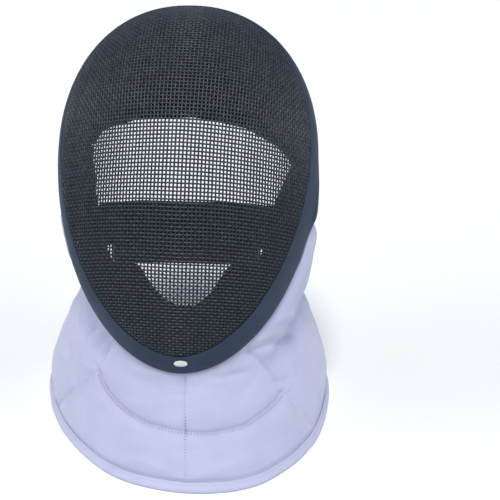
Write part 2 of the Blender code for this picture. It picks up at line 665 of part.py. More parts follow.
def quilt(p, share, t):
    """How far the quilting lifts the cloth at a point of its middle surface."""
    sunk = 0.0
    for name, (deep, outer, inner) in SEWN.items():
        d = np.min(np.linalg.norm(SEAM_POINTS[name] - p, axis=1))
        inside = max(1 - d / (outer if on_outer_side(name, share, t) else inner), 0.0)
        sunk = min(sunk, -deep * (1 - (1 - inside ** 2) ** SWELL_CLOSE))
    lift = PUFF + sunk
    for ((rise, wide), *_), pts in zip(FOLDS, FOLD_POINTS):
        d = np.min(np.linalg.norm(pts - p, axis=1))
        lift += rise * math.exp(-(d / wide) ** 2)
    return lift * smooth(min(t, 1 - t) * DROP_LONG / HELD)


def bib_wall(k, u):
    """Outer and inner point of the bib; its grid's lines run along the sewn lines."""
    share, t = k, u
    for _ in range(4):
        arc = arc_drop(share)
        t = 2 * u * arc if u < 0.5 else arc + (2 * u - 1) * (1 - arc)
        stops = [seam_share(name, t) for name in ("left", "centre", "right")]
        share = float(np.interp(k, SEAM_AT, [0.0] + stops + [1.0]))
    p, n = bib_rest(share, t), bib_frame(share, t)
    lift = quilt(p, share, t)
    return p + n * (BIB_WALL / 2 + lift), p + n * (lift / 2 - BIB_WALL / 2)


SEAM_AT = (0.0, 0.3, 0.5, 0.7, 1.0)    # where the left, centre and right seams lie in the grid
BIB_STEPS = (0.0, 0.06, 0.14, 0.22, 0.31, 0.39, 0.455, 0.50, 0.545, 0.61, 0.70, 0.80, 0.91, 1.0)
bib_grid = [[bib_wall(k / 50, u) for u in BIB_STEPS] for k in range(51)]
wall("bib", [[pair[0] for pair in row] for row in bib_grid],
     [[pair[1] for pair in row] for row in bib_grid], BIB)

# ---- 6 hem binding: rolled tape on the floor ---------------------------------------
HEM_SECTION = [(-0.0030, 0.0), (0.0030, 0.0), (0.0044, 0.0016), (0.0045, 0.0046), (0.0032, 0.0073),
               (0.0000, 0.0080), (-0.0032, 0.0073), (-0.0045, 0.0046), (-0.0044, 0.0016)]


def hem_ring(share):
    e = 0.01
    along = hem_point(min(share + e, 1.0)) - hem_point(max(share - e, 0.0))
    along /= np.linalg.norm(along)
    outward = np.cross(along, np.array((0, 0, 1.0)))
    p = hem_point(share)
    return [np.array((p[0], p[1], 0.0)) + outward * a + np.array((0, 0, h)) for a, h in HEM_SECTION]


sweep("bib_binding", [hem_ring(k / 50) for k in range(51)], BIB)

# ---- 7 chin rivet: oval cap on the trim ------------------------------------------
CAP_LONG, CAP_TALL, CAP_HIGH = 0.0122, 0.0060, 0.0016
centre, normal, toward = meridian(math.radians(179.3)).frame(0.0150)
across = np.cross(toward, normal)
cap_rings = []
for grow, high in ((1.0, 0.0), (1.0, 0.0007), (0.82, 0.0013), (0.45, CAP_HIGH)):
    middle = centre + normal * (0.0011 + GAP + high)
    long, tall = across * CAP_LONG / 2 * grow, toward * CAP_TALL / 2 * grow
    cap_rings.append([middle + long * math.cos(a) + tall * math.sin(a)
                      for a in (2 * math.pi * k / 14 for k in range(14))])
sweep("chin_rivet", cap_rings, RIVET)

print("named pieces", sorted(o.name for o in bpy.data.objects))
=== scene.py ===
# Fencing mask: the looks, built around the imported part.
import math

import bpy
import numpy as np
from mathutils import Matrix, Vector


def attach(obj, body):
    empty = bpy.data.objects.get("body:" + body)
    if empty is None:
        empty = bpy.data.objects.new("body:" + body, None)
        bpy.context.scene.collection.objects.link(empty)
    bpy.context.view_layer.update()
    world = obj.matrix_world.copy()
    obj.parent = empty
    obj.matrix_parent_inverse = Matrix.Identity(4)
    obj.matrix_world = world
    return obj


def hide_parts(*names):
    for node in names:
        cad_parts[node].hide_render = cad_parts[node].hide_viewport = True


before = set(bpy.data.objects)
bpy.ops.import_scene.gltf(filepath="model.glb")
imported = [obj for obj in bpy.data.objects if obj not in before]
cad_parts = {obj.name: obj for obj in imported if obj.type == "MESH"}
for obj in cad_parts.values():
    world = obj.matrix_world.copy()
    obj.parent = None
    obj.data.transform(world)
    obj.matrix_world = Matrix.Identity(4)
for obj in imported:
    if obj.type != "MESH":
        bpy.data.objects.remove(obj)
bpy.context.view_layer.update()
print("stage: packed part loaded")

scene = bpy.context.scene

# Shape of the mask, in metres, the same values as the part's
lean = math.radians(30.6)  # how far the rim plane leans back
place = np.array((0.0011, -0.0446, 0.1905))  # zero of the rim plane
upAxis = np.array((0.0, math.sin(lean), math.cos(lean)))
outAxis = np.array((0.0, -math.cos(lean), math.sin(lean)))
sideAxis = np.array((1.0, 0.0, 0.0))
worldUp = np.array((0.0, 0.0, 1.0))

rim = {"halfWide": 0.1113, "rise": 0.1325, "drop": 0.1811, "widest": 0.0799,
       "roundTop": 2.18, "roundChin": 1.94, "earBack": 0.0054, "topBack": 0.0062}
bowl = {"depth": 0.1102, "noseDepth": 0.0975, "noseRound": 0.086, "noseShare": 0.34, "cut": 0.985,
        "sharp": 2.277, "sideSharp": 1.639, "lowSharp": 0.392,
        "close": 0.452, "sideClose": 0.574, "lowClose": 0.39}
leftWall = {"fuller": 0.024, "less": 0.012, "share": 0.92, "soft": 0.07}
wall = {"wire": 0.0016, "gap": 0.0003, "trimSink": 0.0042, "sinkPast": 0.003, "sinkSoft": 0.010}
# width of the trim in millimetres by the angle round the rim
trimAngles = (-180, -150, -120, -90, -60, 0, 60, 90, 110, 130, 150, 165, 180)
trimWidths = (21.1, 25.5, 25.5, 22.5, 21.9, 21.9, 21.9, 23, 26.2, 29.1, 29.5, 26.3, 21.1)


def smooth(t):
    t = np.clip(t, 0.0, 1.0)
    return t * t * (3 - 2 * t)


def unit(v):
    return v / np.maximum(np.linalg.norm(v, axis=-1, keepdims=True), 1e-12)


def runAlong(points):
    # length of the way to each point of a line, or of each of several lines
    steps = np.linalg.norm(np.diff(points, axis=-2), axis=-1)
    return np.concatenate([np.zeros(steps.shape[:-1] + (1,)), np.cumsum(steps, axis=-1)], axis=-1)


def ovalReach(turn):
    s, c = np.sin(turn), np.cos(turn)
    tall = np.where(c > 0, rim["rise"], rim["drop"])
    power = np.where(c > 0, rim["roundTop"], rim["roundChin"])
    return (np.abs(s / rim["halfWide"]) ** power + np.abs(c / tall) ** power) ** (-1 / power)


def leftFullness(turn, share):
    # widening of the left wall, which stands a little fuller
    s, c = np.sin(turn), np.cos(turn)
    reach = ovalReach(turn) * share
    tall = np.where(c > 0, rim["rise"], rim["drop"])
    wide2, tall2 = (reach * s / rim["halfWide"]) ** 2, (reach * c / tall) ** 2
    sideways = wide2 / np.maximum(wide2 + tall2, 1e-9)
    bulge = leftWall["fuller"] * np.exp(-((share - leftWall["share"]) / leftWall["soft"]) ** 2)
    return np.where(s < 0, 1 + sideways * (bulge - leftWall["less"]), 1.0), sideways


def faceLocal(turn, share):
    # surface of the bowl as (across, up from the widest place, out); share 0 nose to 1 rim
    turn, share = np.broadcast_arrays(np.asarray(turn, float), np.asarray(share, float))
    s, c = np.sin(turn), np.cos(turn)
    fuller, sideways = leftFullness(turn, share)
    across, up = ovalReach(turn) * share * s * fuller, ovalReach(turn) * share * c
    low = np.where(c < 0, 1 - sideways, 0.0)
    cut, nose = bowl["cut"], bowl["noseDepth"]
    sharp = bowl["sharp"] + (bowl["sideSharp"] - bowl["sharp"]) * sideways - bowl["lowSharp"] * low
    close = bowl["close"] + (bowl["sideClose"] - bowl["close"]) * sideways + bowl["lowClose"] * low
    base = (1 - cut ** sharp) ** close
    out = bowl["depth"] * ((1 - (share * cut) ** sharp) ** close - base)
    out = out + (nose - bowl["depth"] * (1 - base)) * (1 - share ** 2)
    out = out + (nose - bowl["noseRound"] * share ** 2 - out) * (1 - smooth(share / bowl["noseShare"]))
    saddle = -rim["earBack"] * s ** 2 - np.where(c > 0, rim["topBack"] * c * c, 0.0)
    return np.stack([across, up, out + saddle * share ** 2], -1)


def toWorld(q):
    return place + q[..., :1] * sideAxis + (q[..., 1:2] + rim["widest"]) * upAxis + q[..., 2:] * outAxis


def facePoint(turn, share):
    return toWorld(faceLocal(turn, share))


def faceNormal(turn, share):
    # outward normal and direction to the rim, from points a little way apart
    ahead = np.clip(share + 0.004, 0.010, 1.0)
    toward = unit(facePoint(turn, ahead) - facePoint(turn, ahead - 0.008))
    held = np.maximum(share, 0.03)
    across = unit(facePoint(turn + 0.01, held) - facePoint(turn - 0.01, held))
    return unit(np.cross(across, toward)), toward


def spokeFrame(turn, way):
    # point, outward normal and direction to the rim at ways in from the rim; turn (n), way (n, m)
    turn = np.asarray(turn, float).reshape(-1, 1)
    way = np.asarray(way, float)
    steps = 1.0 - np.linspace(0.0, 1.0, 160) ** 2
    run = runAlong(facePoint(turn, steps[None, :]))
    share = np.array([np.interp(np.maximum(w, 0), r, steps) for w, r in zip(way, run)])
    normal, toward = faceNormal(turn, share)
    return facePoint(turn, share) - np.minimum(way, 0)[..., None] * toward, normal, toward


def trimWidth(turn):
    degrees = (np.degrees(turn) + 180) % 360 - 180
    return np.interp(degrees, trimAngles, trimWidths) / 1000


def wireSink(turn, way):
    return -wall["trimSink"] * smooth((trimWidth(turn) + wall["sinkPast"] - way) / wall["sinkSoft"])


def turnRow(first, last, count):
    return np.radians(np.linspace(first, last, count))


def evenLoop(count):
    # angles that part the rim into equal lengths, from the chin round by the left
    fine = np.radians(np.arange(-180, 180.25, 0.5))
    reach = ovalReach(fine)
    run = runAlong(np.stack([reach * np.sin(fine), reach * np.cos(fine)], -1))
    return np.interp(np.arange(count) / count * run[-1], run, fine)


def tableAt(table, x, soft):
    # metres at x from a table of (angle or share, millimetres), with its corners rounded over soft
    x = np.asarray(x, float)
    at, *columns = np.array(table, float).T
    total, weights = 0.0, 0.0
    for step in np.linspace(-1, 1, 9):
        weight = 1 - 0.8 * abs(step)
        total = total + weight * np.stack([np.interp(x + soft * step, at, c) for c in columns], -1)
        weights += weight
    return total / weights / 1000


def hermite(rows, slope, k, f, length=1.0):
    # smooth curve through rows with slopes, at f past row k
    return ((2 * f ** 3 - 3 * f ** 2 + 1) * rows[k] + (f ** 3 - 2 * f ** 2 + f) * length * slope[k]
            + (3 * f ** 2 - 2 * f ** 3) * rows[k + 1] + (f ** 3 - f ** 2) * length * slope[k + 1])


# Making meshes
def newObject(name, mesh):
    obj = bpy.data.objects.new(name, mesh)
    scene.collection.objects.link(obj)
    return obj


def meshFrom(name, points, faces, mat, uv=None):
    # closed mesh with outward faces; uv gives each point's place on the cloth in metres
    points = np.asarray(points, float)
    tri = np.array([(f[0], f[k], f[k + 1]) for f in faces for k in range(1, len(f) - 1)])
    a, b, c = points[tri[:, 0]], points[tri[:, 1]], points[tri[:, 2]]
    if np.einsum("ij,ij->i", a, np.cross(b, c)).sum() < 0:
        faces = [tuple(reversed(f)) for f in faces]
    mesh = bpy.data.meshes.new(name)
    mesh.from_pydata(points.tolist(), [], faces)
    mesh.validate()
    mesh.materials.append(mat)
    mesh.polygons.foreach_set("use_smooth", [True] * len(mesh.polygons))
    if uv is not None:
        layer = mesh.uv_layers.new(name="cloth")
        corner = np.zeros(len(mesh.loops), int)
        mesh.loops.foreach_get("vertex_index", corner)
        layer.data.foreach_set("uv", np.asarray(uv, float)[corner].ravel())
    return newObject(name, mesh)


def loft(name, rings, mat, closed=False, uv=None):
    # closed solid through sections (count, points, 3)
    count, n = rings.shape[:2]
    faces = []
    for i in range(count if closed else count - 1):
        k = (i + 1) % count
        for j in range(n):
            m = (j + 1) % n
            faces.append((i * n + j, i * n + m, k * n + m, k * n + j))
    if not closed:
        faces.append(tuple(reversed(range(n))))
        faces.append(tuple((count - 1) * n + j for j in range(n)))
    return meshFrom(name, rings.reshape(-1, 3), faces, mat, None if uv is None else uv.reshape(-1, 2))


def shell(name, outer, inner, mat, uv):
    # closed solid between two grids of points; each ring goes out along one and back along the other
    points, uv = (np.concatenate([a, b[:, ::-1]], axis=1).reshape(-1, a.shape[-1])
                  for a, b in ((outer, inner), (uv, uv)))
    rows, cols = outer.shape[:2]
    n = 2 * cols
    faces = []
    for i in range(rows - 1):
        for j in range(n):
            m = (j + 1) % n
            faces.append((i * n + j, i * n + n + j, i * n + n + m, i * n + m))
    for j in range(cols - 1):
        cap = (j, j + 1, n - 2 - j, n - 1 - j)
        faces += [cap, tuple((rows - 1) * n + at for at in cap[::-1])]
    return meshFrom(name, points, faces, mat, uv)


def finish(piece, slot, *replaced, fill=None):
    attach(piece, "root")
    if replaced:
        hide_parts(*replaced)
    return piece


# Nodes and materials
def addNode(tree, kind, feeds=None, **settings):
    # a node with its settings; feeds give a socket a value or another node's output
    node = tree.nodes.new(kind)
    for key, value in settings.items():
        setattr(node, key, value)
    for socket, value in (feeds or {}).items():
        if isinstance(value, bpy.types.NodeSocket):
            tree.links.new(value, node.inputs[socket])
        else:
            node.inputs[socket].default_value = value
    return node


class Paint:
    # a material and short calls for the nodes in it

    def __init__(self, name, colour, rough, **sockets):
        self.mat = bpy.data.materials.new(name)
        self.mat.use_nodes = True
        self.mat.diffuse_color = (*colour, 1.0)
        self.tree = self.mat.node_tree
        self.shader = self.tree.nodes["Principled BSDF"].inputs
        self.shader["Base Color"].default_value = (*colour, 1.0)
        self.shader["Roughness"].default_value = rough
        for socket, value in sockets.items():
            self.shader[socket.replace("_", " ")].default_value = value
        coords = addNode(self.tree, "ShaderNodeTexCoord").outputs
        self.at, self.flat = coords["Object"], coords["UV"]

    def noise(self, scale, detail):
        feeds = {"Vector": self.at, "Scale": scale, "Detail": detail, "Roughness": 0.5}
        return addNode(self.tree, "ShaderNodeTexNoise", feeds).outputs["Fac"]

    def grain(self, scale):
        feeds = {"Vector": self.at, "Scale": scale}
        return addNode(self.tree, "ShaderNodeTexVoronoi", feeds, feature="SMOOTH_F1").outputs["Distance"]

    def threads(self, width, direction):
        # a band texture repeats every 0.314 of its unit, so 0.3142 / width gives the count
        feeds = {"Vector": self.flat, "Scale": 0.3142 / width}
        settings = {"wave_type": "BANDS", "bands_direction": direction}
        return addNode(self.tree, "ShaderNodeTexWave", feeds, **settings).outputs["Fac"]

    def sum(self, a, b, operation="ADD"):
        return addNode(self.tree, "ShaderNodeMath", {0: a, 1: b}, operation=operation).outputs[0]

    def scaled(self, a, factor):
        return self.sum(a, factor, "MULTIPLY")

    def colourBy(self, share, stops):
        ramp = addNode(self.tree, "ShaderNodeValToRGB", {"Fac": share})
        elements = ramp.color_ramp.elements
        while len(elements) < len(stops):
            elements.new(0.5)
        for element, (at, colour) in zip(elements, stops):
            element.position = at
            element.color = (*colour, 1.0)
        self.tree.links.new(ramp.outputs["Color"], self.shader["Base Color"])

    def roughBy(self, share, low, high):
        node = addNode(self.tree, "ShaderNodeMapRange", {"Value": share, "To Min": low, "To Max": high})
        self.tree.links.new(node.outputs["Result"], self.shader["Roughness"])

    def paintedTopLight(self):
        # how far the surface looks up, used to paint light from above into the colour
        normal = addNode(self.tree, "ShaderNodeNewGeometry").outputs["Normal"]
        return self.sum(addNode(self.tree, "ShaderNodeSeparateXYZ", {0: normal}).outputs["Z"], 0.0, "MAXIMUM")

    def bump(self, height, strength, distance):
        feeds = {"Height": height, "Strength": strength, "Distance": distance}
        if self.shader["Normal"].links:
            feeds["Normal"] = self.shader["Normal"].links[0].from_socket
        node = addNode(self.tree, "ShaderNodeBump", feeds)
        self.tree.links.new(node.outputs["Normal"], self.shader["Normal"])


def blackWirePaint():
    # enamel on steel wire: fine orange peel, rubbed grey in places, and painted lighter where it looks up, a
    # painted top light
    paint = Paint("blackWire", (0.010, 0.013, 0.020), 0.45, Specular_IOR_Level=0.28)
    rubbed = paint.sum(paint.scaled(paint.noise(160, 4), 0.35), 0.33)
    # painted light: wires that face up get a lighter colour, as if lit from above
    wearAndTopLight = paint.sum(rubbed, paint.scaled(paint.paintedTopLight(), 0.32))
    paint.colourBy(wearAndTopLight, ((0.35, (0.006, 0.007, 0.010)), (0.60, (0.013, 0.017, 0.025)),
                          (0.84, (0.058, 0.063, 0.076))))
    paint.roughBy(paint.noise(420, 2), 0.36, 0.54)
    paint.bump(paint.noise(2600, 2), 0.15, 0.00006)
    return paint.mat


def navyHidePaint():
    # coated cloth with a leather grain, a little lighter where it is rubbed
    paint = Paint("navyHide", (0.019, 0.031, 0.052), 0.58, Specular_IOR_Level=0.16)
    paint.colourBy(paint.noise(26, 5), ((0.25, (0.016, 0.027, 0.046)), (0.55, (0.019, 0.032, 0.053)),
                                        (0.80, (0.026, 0.041, 0.065))))
    paint.roughBy(paint.noise(90, 3), 0.50, 0.68)
    paint.bump(paint.grain(1150), 0.28, 0.00018)
    paint.bump(paint.noise(330, 4), 0.20, 0.00030)
    return paint.mat


def clothPaint(name, dark, usual, light, widths, rough=0.85, fuzz=0.2, strength=0.4):
    # woven cloth on the piece's own cloth map: three shades, and both threads' widths in metres
    paint = Paint(name, usual, rough, Sheen_Weight=fuzz, Sheen_Roughness=0.45)
    tone = paint.sum(paint.noise(34, 4), paint.scaled(paint.noise(1400, 2), 0.25))
    paint.colourBy(tone, ((0.30, dark), (0.62, usual), (0.92, light)))
    paint.bump(paint.sum(paint.threads(widths[0], "X"), paint.threads(widths[1], "Y")), strength, 0.00012)
    paint.bump(paint.noise(240, 4), 0.22, 0.00050)
    return paint.mat


blackWire = blackWirePaint()
navyHide = navyHidePaint()
whiteCloth = clothPaint("whiteCloth", (0.340, 0.343, 0.458), (0.362, 0.365, 0.480), (0.386, 0.390, 0.504),
                        (0.00085, 0.00062))
whiteTape = clothPaint("whiteTape", (0.355, 0.359, 0.473), (0.376, 0.380, 0.494), (0.400, 0.404, 0.518),
                       (0.0011, 0.0005))
darkLining = clothPaint("darkLining", (0.017, 0.013, 0.013), (0.026, 0.019, 0.019), (0.040, 0.030, 0.029),
                        (0.0016, 0.0012), 0.9, 0.25)
greyLining = clothPaint("greyLining", (0.068, 0.052, 0.047), (0.095, 0.072, 0.064), (0.126, 0.098, 0.088),
                        (0.0014, 0.0014), 0.9, 0.35)
blackWebbing = clothPaint("blackWebbing", (0.007, 0.008, 0.010), (0.011, 0.012, 0.015), (0.020, 0.021, 0.025),
                          (0.0030, 0.0009), 0.75, 0.15, 0.8)
whiteThread = Paint("whiteThread", (0.33, 0.335, 0.45), 0.7).mat
# darker thread for beads that stand for the shade of the bib's puckers: painted shade
puckerShadeThread = Paint("puckerShadeThread", (0.245, 0.250, 0.345), 0.8).mat
darkThread = Paint("darkThread", (0.020, 0.020, 0.024), 0.7).mat
print("stage: materials made")


# Geometry node trees
def newTree(name, *sockets):
    # tree with inputs as (name, kind, value); gives the tree and what its inputs give
    tree = bpy.data.node_groups.new(name, "GeometryNodeTree")
    for label, kind, value in (("Geometry", "Geometry", None), *sockets, ("Material", "Material", None)):
        socket = tree.interface.new_socket(name=label, in_out="INPUT", socket_type="NodeSocket" + kind)
        if value is not None:
            socket.default_value = value
    tree.interface.new_socket(name="Geometry", in_out="OUTPUT", socket_type="NodeSocketGeometry")
    return tree, tree.nodes.new("NodeGroupInput").outputs


def endTree(tree, geometry, material):
    # each tree ends with real, smooth and painted geometry
    ends = (("RealizeInstances", {}), ("SetShadeSmooth", {}), ("SetMaterial", {"Material": material}))
    for kind, feeds in ends:
        geometry = addNode(tree, "GeometryNode" + kind, {"Geometry": geometry, **feeds}).outputs["Geometry"]
    tree.links.new(geometry, tree.nodes.new("NodeGroupOutput").inputs["Geometry"])
    return tree


def applyTree(obj, tree, values):
    # runs the tree on the object and keeps the result as its plain mesh
    modifier = obj.modifiers.new("nodes", "NODES")
    modifier.node_group = tree
    for item in tree.interface.items_tree:
        if item.item_type == "SOCKET" and item.in_out == "INPUT" and item.name in values:
            modifier[item.identifier] = values[item.name]
    bpy.context.view_layer.update()
    made = bpy.data.meshes.new_from_object(obj.evaluated_get(bpy.context.evaluated_depsgraph_get()))
    obj.modifiers.clear()
    old = obj.data
    obj.data = made
    bpy.data.meshes.remove(old)
    made.name = obj.name
    return obj


def wireTree():
    # round wires along a mesh of edges; each point steps off the middle by its own offset times Crimp
    tree, given = newTree("wovenWires", ("Wire", "Float", 0.001), ("Crimp", "Float", 0.0004),
                          ("Sides", "Int", 6))
    over = addNode(tree, "GeometryNodeInputNamedAttribute", {"Name": "over"}, data_type="FLOAT_VECTOR")
    step = addNode(tree, "ShaderNodeVectorMath", {0: over.outputs["Attribute"], "Scale": given["Crimp"]},
                   operation="SCALE")
    moved = addNode(tree, "GeometryNodeSetPosition",
                    {"Geometry": given["Geometry"], "Offset": step.outputs[0]})
    curve = addNode(tree, "GeometryNodeMeshToCurve", {"Mesh": moved.outputs["Geometry"]})
    half = addNode(tree, "ShaderNodeMath", {0: given["Wire"], 1: 0.5}, operation="MULTIPLY")
    ring = addNode(tree, "GeometryNodeCurvePrimitiveCircle",
                   {"Resolution": given["Sides"], "Radius": half.outputs[0]})
    tube = addNode(tree, "GeometryNodeCurveToMesh",
                   {"Curve": curve.outputs["Curve"], "Profile Curve": ring.outputs["Curve"],
                    "Fill Caps": True})
    return endTree(tree, tube.outputs["Mesh"], given["Material"])


def stitchTree():
    # thread stitches along a mesh of edges
    tree, given = newTree("stitches", ("Pitch", "Float", 0.003), ("Long", "Float", 0.0023),
                          ("Thread", "Float", 0.0006))
    curve = addNode(tree, "GeometryNodeMeshToCurve", {"Mesh": given["Geometry"]})
    spots = addNode(tree, "GeometryNodeCurveToPoints",
                    {"Curve": curve.outputs["Curve"], "Length": given["Pitch"]}, mode="LENGTH")
    ball = addNode(tree, "GeometryNodeMeshUVSphere", {"Segments": 6, "Rings": 5, "Radius": 0.5})
    size = addNode(tree, "ShaderNodeCombineXYZ",
                   {"X": given["Thread"], "Y": given["Thread"], "Z": given["Long"]})
    each = addNode(tree, "GeometryNodeInstanceOnPoints",
                   {"Points": spots.outputs["Points"], "Instance": ball.outputs["Mesh"],
                    "Rotation": spots.outputs["Rotation"], "Scale": size.outputs[0]})
    return endTree(tree, each.outputs["Instances"], given["Material"])


wovenWires, stitches = wireTree(), stitchTree()


def edgeMesh(name, lines, offsets=None):
    # mesh of edges along point rows, with each point's own offset direction
    points = np.concatenate(lines)
    edges, start = [], 0
    for line in lines:
        edges += [(start + k, start + k + 1) for k in range(len(line) - 1)]
        start += len(line)
    mesh = bpy.data.meshes.new(name)
    mesh.from_pydata(points.tolist(), edges, [])
    if offsets is not None:
        over = mesh.attributes.new("over", "FLOAT_VECTOR", "POINT")
        over.data.foreach_set("vector", np.concatenate(offsets).astype(np.float32).ravel())
    return newObject(name, mesh)


def sew(name, lines, slot, mat=darkThread, thread=0.00055, pitch=0.0030, long=0.0024):
    piece = applyTree(edgeMesh(name, lines), stitches,
                      {"Pitch": pitch, "Long": long, "Thread": thread, "Material": mat})
    return finish(piece, slot)


# Woven wire: a square net laid on the bowl, from its nose by so many columns and rows
frontNet = {"pitch": 0.0031, "wire": 0.00148, "crimp": 0.00052, "sides": 6, "tilt": -0.026, "shear": 0.01,
            "bend": 0.5, "pace": 1.5, "levels": ((4, 900), (2, 200), (1, 60)), "spare": 0.008,
            "columns": (-56, 57), "rows": (-76, 65), "in": 0.0008, "nose": 0.10}
fewestNodes = 4  # on a wire that is kept
netTurns = np.radians(np.arange(0, 361, 1.0))
netShares = 1 - np.linspace(1, 0, 500) ** 2
netAngles = np.linspace(0, 1.75, 400)


def blend(table, a, b):
    # table read at places a and b between its rows and columns
    i, j = np.minimum(a.astype(int), len(table) - 2), np.minimum(b.astype(int), table.shape[1] - 2)
    fa, fb = a - i, b - j
    low = table[i, j] * (1 - fa) + table[i + 1, j] * fa
    high = table[i, j + 1] * (1 - fa) + table[i + 1, j + 1] * fa
    return low * (1 - fb) + high * fb


def shareTables():
    # share of the bowl by turn and by angle off its axis, and each turn's last angle
    table, last = [], []
    for turn in netTurns:
        q = faceLocal(turn, netShares)
        angle = np.maximum.accumulate(np.arctan2(np.hypot(q[:, 0], q[:, 1]), q[:, 2]))
        table.append(np.interp(netAngles, angle, netShares))
        last.append(angle[-1])
    return np.array(table), np.array(last)


shareTable, lastAngle = shareTables()


def turnShare(q):
    # turn and share of points by the bowl, read off the table
    angle = np.arctan2(np.hypot(q[..., 0], q[..., 1]), q[..., 2])
    place2 = np.clip(angle / netAngles[1], 0, len(netAngles) - 1.001)
    fuller = 1.0
    for _ in range(3):
        turn = np.arctan2(q[..., 0] / fuller, q[..., 1]) % (2 * np.pi)
        share = blend(shareTable, np.degrees(turn), place2)
        fuller = leftFullness(turn, share)[0]
    return turn, share, angle


def onBowl(q):
    # points moved onto the bowl, or onto its straight continuation past the rim
    turn, share, angle = turnShare(q)
    p = faceLocal(turn, share)
    past = angle > np.interp(turn, netTurns, lastAngle)
    p[..., 2] = np.where(past, np.minimum(q[..., 2], p[..., 2]), p[..., 2])
    return p


def layFlat(x, y):
    # first lay of the net: each node goes straight out from the nose along the bowl
    turn, away = np.arctan2(x, y) % (2 * np.pi), np.hypot(x, y)
    fan = np.radians(np.arange(0, 361, 2.0))
    run = runAlong(faceLocal(fan[:, None], netShares[None, :]))
    a = turn / fan[1]
    i = np.minimum(a.astype(int), len(fan) - 2)
    share = np.zeros(x.shape)
    for at in np.ndindex(x.shape):
        k, f = i[at], a[at] - i[at]
        share[at] = np.interp(away[at], run[k] * (1 - f) + run[k + 1] * f, netShares)
    q = faceLocal(turn, share)
    past = away - np.interp(turn, fan, run[:, -1])
    q[..., 2] -= np.maximum(past, 0)
    return q, past


def pull(q, live, rest, rounds, middle, v):
    # evens the net's edges, with a little stiffness against shear and bending
    slant = rest * math.sqrt(2)
    runs = [(np.s_[:-1, :], np.s_[1:, :], rest, 1.0), (np.s_[:, :-1], np.s_[:, 1:], rest, 1.0),
            (np.s_[:-1, :-1], np.s_[1:, 1:], slant, v["shear"]),
            (np.s_[:-1, 1:], np.s_[1:, :-1], slant, v["shear"])]
    for _ in range(rounds):
        shift, count = np.zeros_like(q), np.zeros(q.shape[:2])
        for a, b, length, stiff in runs:
            both = live[a] & live[b]
            d = q[b] - q[a]
            n = np.linalg.norm(d, axis=-1)
            move = (stiff * (n - length) / np.maximum(n, 1e-9) * both)[..., None] * d * 0.5
            shift[a] += move
            shift[b] -= move
            count[a] += both * stiff
            count[b] += both * stiff
        q = q + v["pace"] * shift / np.maximum(count, 1)[..., None]
        for r, on in ((q, live), (q.transpose(1, 0, 2), live.T)):
            all5 = on[4:] & on[3:-1] & on[2:-2] & on[1:-3] & on[:-4]
            kink = (r[4:] - 4 * r[3:-1] + 6 * r[2:-2] - 4 * r[1:-3] + r[:-4]) * all5[..., None]
            r[2:-2] -= v["bend"] / 16 * kink
        q[middle[0], :, 0] = -q[middle[0], :, 1] * math.tan(v["tilt"])
        q = onBowl(q)
        q[middle] = faceLocal(0.0, 0.0)
    return q


def weaveFront(v):
    # net nodes in the world, with their normals and live flags
    pitch, q = v["pitch"], None
    c, s = math.cos(v["tilt"]), math.sin(v["tilt"])
    for step, rounds in v["levels"]:
        i, j = np.arange(*v["columns"], step), np.arange(*v["rows"], step)
        x, y = np.meshgrid(i * pitch, j * pitch, indexing="ij")
        flat, past = layFlat(x * c - y * s, y * c + x * s)
        if q is None:
            q = flat
        else:
            finer = np.zeros(flat.shape)
            finer[::2, ::2] = q
            finer[1::2, ::2] = (q[1:] + q[:-1]) / 2
            finer[:, 1::2] = (finer[:, 2::2] + finer[:, :-2:2]) / 2
            q = onBowl(finer)
        live = past < v["spare"] + step * pitch
        middle = (int(np.flatnonzero(i == 0)[0]), int(np.flatnonzero(j == 0)[0]))
        q = pull(q, live, pitch * step, rounds, middle, v)
    turn, share, _ = turnShare(q)
    near = smooth(share / v["nose"])[..., None]
    normal = unit(faceNormal(turn, share)[0] * near + outAxis * (1 - near))
    # way in from the rim by turn and share
    x = np.linspace(0, 1, 200)
    run = runAlong(faceLocal(netTurns[:, None], (1 - x ** 2)[None, :]))
    way = blend(run, np.degrees(turn), np.sqrt(np.maximum(1 - share, 0)) * (len(x) - 1))
    live = live & (way > v["in"]) & (share < 0.9999)
    lift = wireSink(turn, way) - wall["wire"] / 2
    return toWorld(q) + normal * lift[..., None], normal, live


def netLines(points, normals, live):
    # rows of points for one family of wires, with offsets that go over and under
    lines, offsets = [], []
    for i, row in enumerate(live):
        on = np.flatnonzero(row)
        # the longest unbroken run
        run = max(np.split(on, np.flatnonzero(np.diff(on) > 1) + 1), key=len)
        if len(run) < fewestNodes:
            continue
        sign = np.where((i + run) % 2 == 0, 1.0, -1.0)[:, None]
        lines.append(points[i, run])
        offsets.append(normals[i, run] * sign)
    return lines, offsets


def wirePieces(names, points, normals, live, v, replaced):
    # both families of wires; the second goes under where the first goes over
    for name, side, nodes in zip(names, (1.0, -1.0), ([replaced], [])):
        piece = edgeMesh(name, *netLines(points, normals * side, live))
        applyTree(piece, wovenWires, {"Wire": v["wire"], "Crimp": v["crimp"], "Sides": v["sides"],
                                      "Material": blackWire})
        finish(piece, "black_wire", *nodes)
        points, normals, live = points.transpose(1, 0, 2), normals.transpose(1, 0, 2), live.T


wirePieces(("frontUprightWires", "frontCrossWires"), *weaveFront(frontNet), frontNet, "front_mesh")
print("stage: front wires woven")

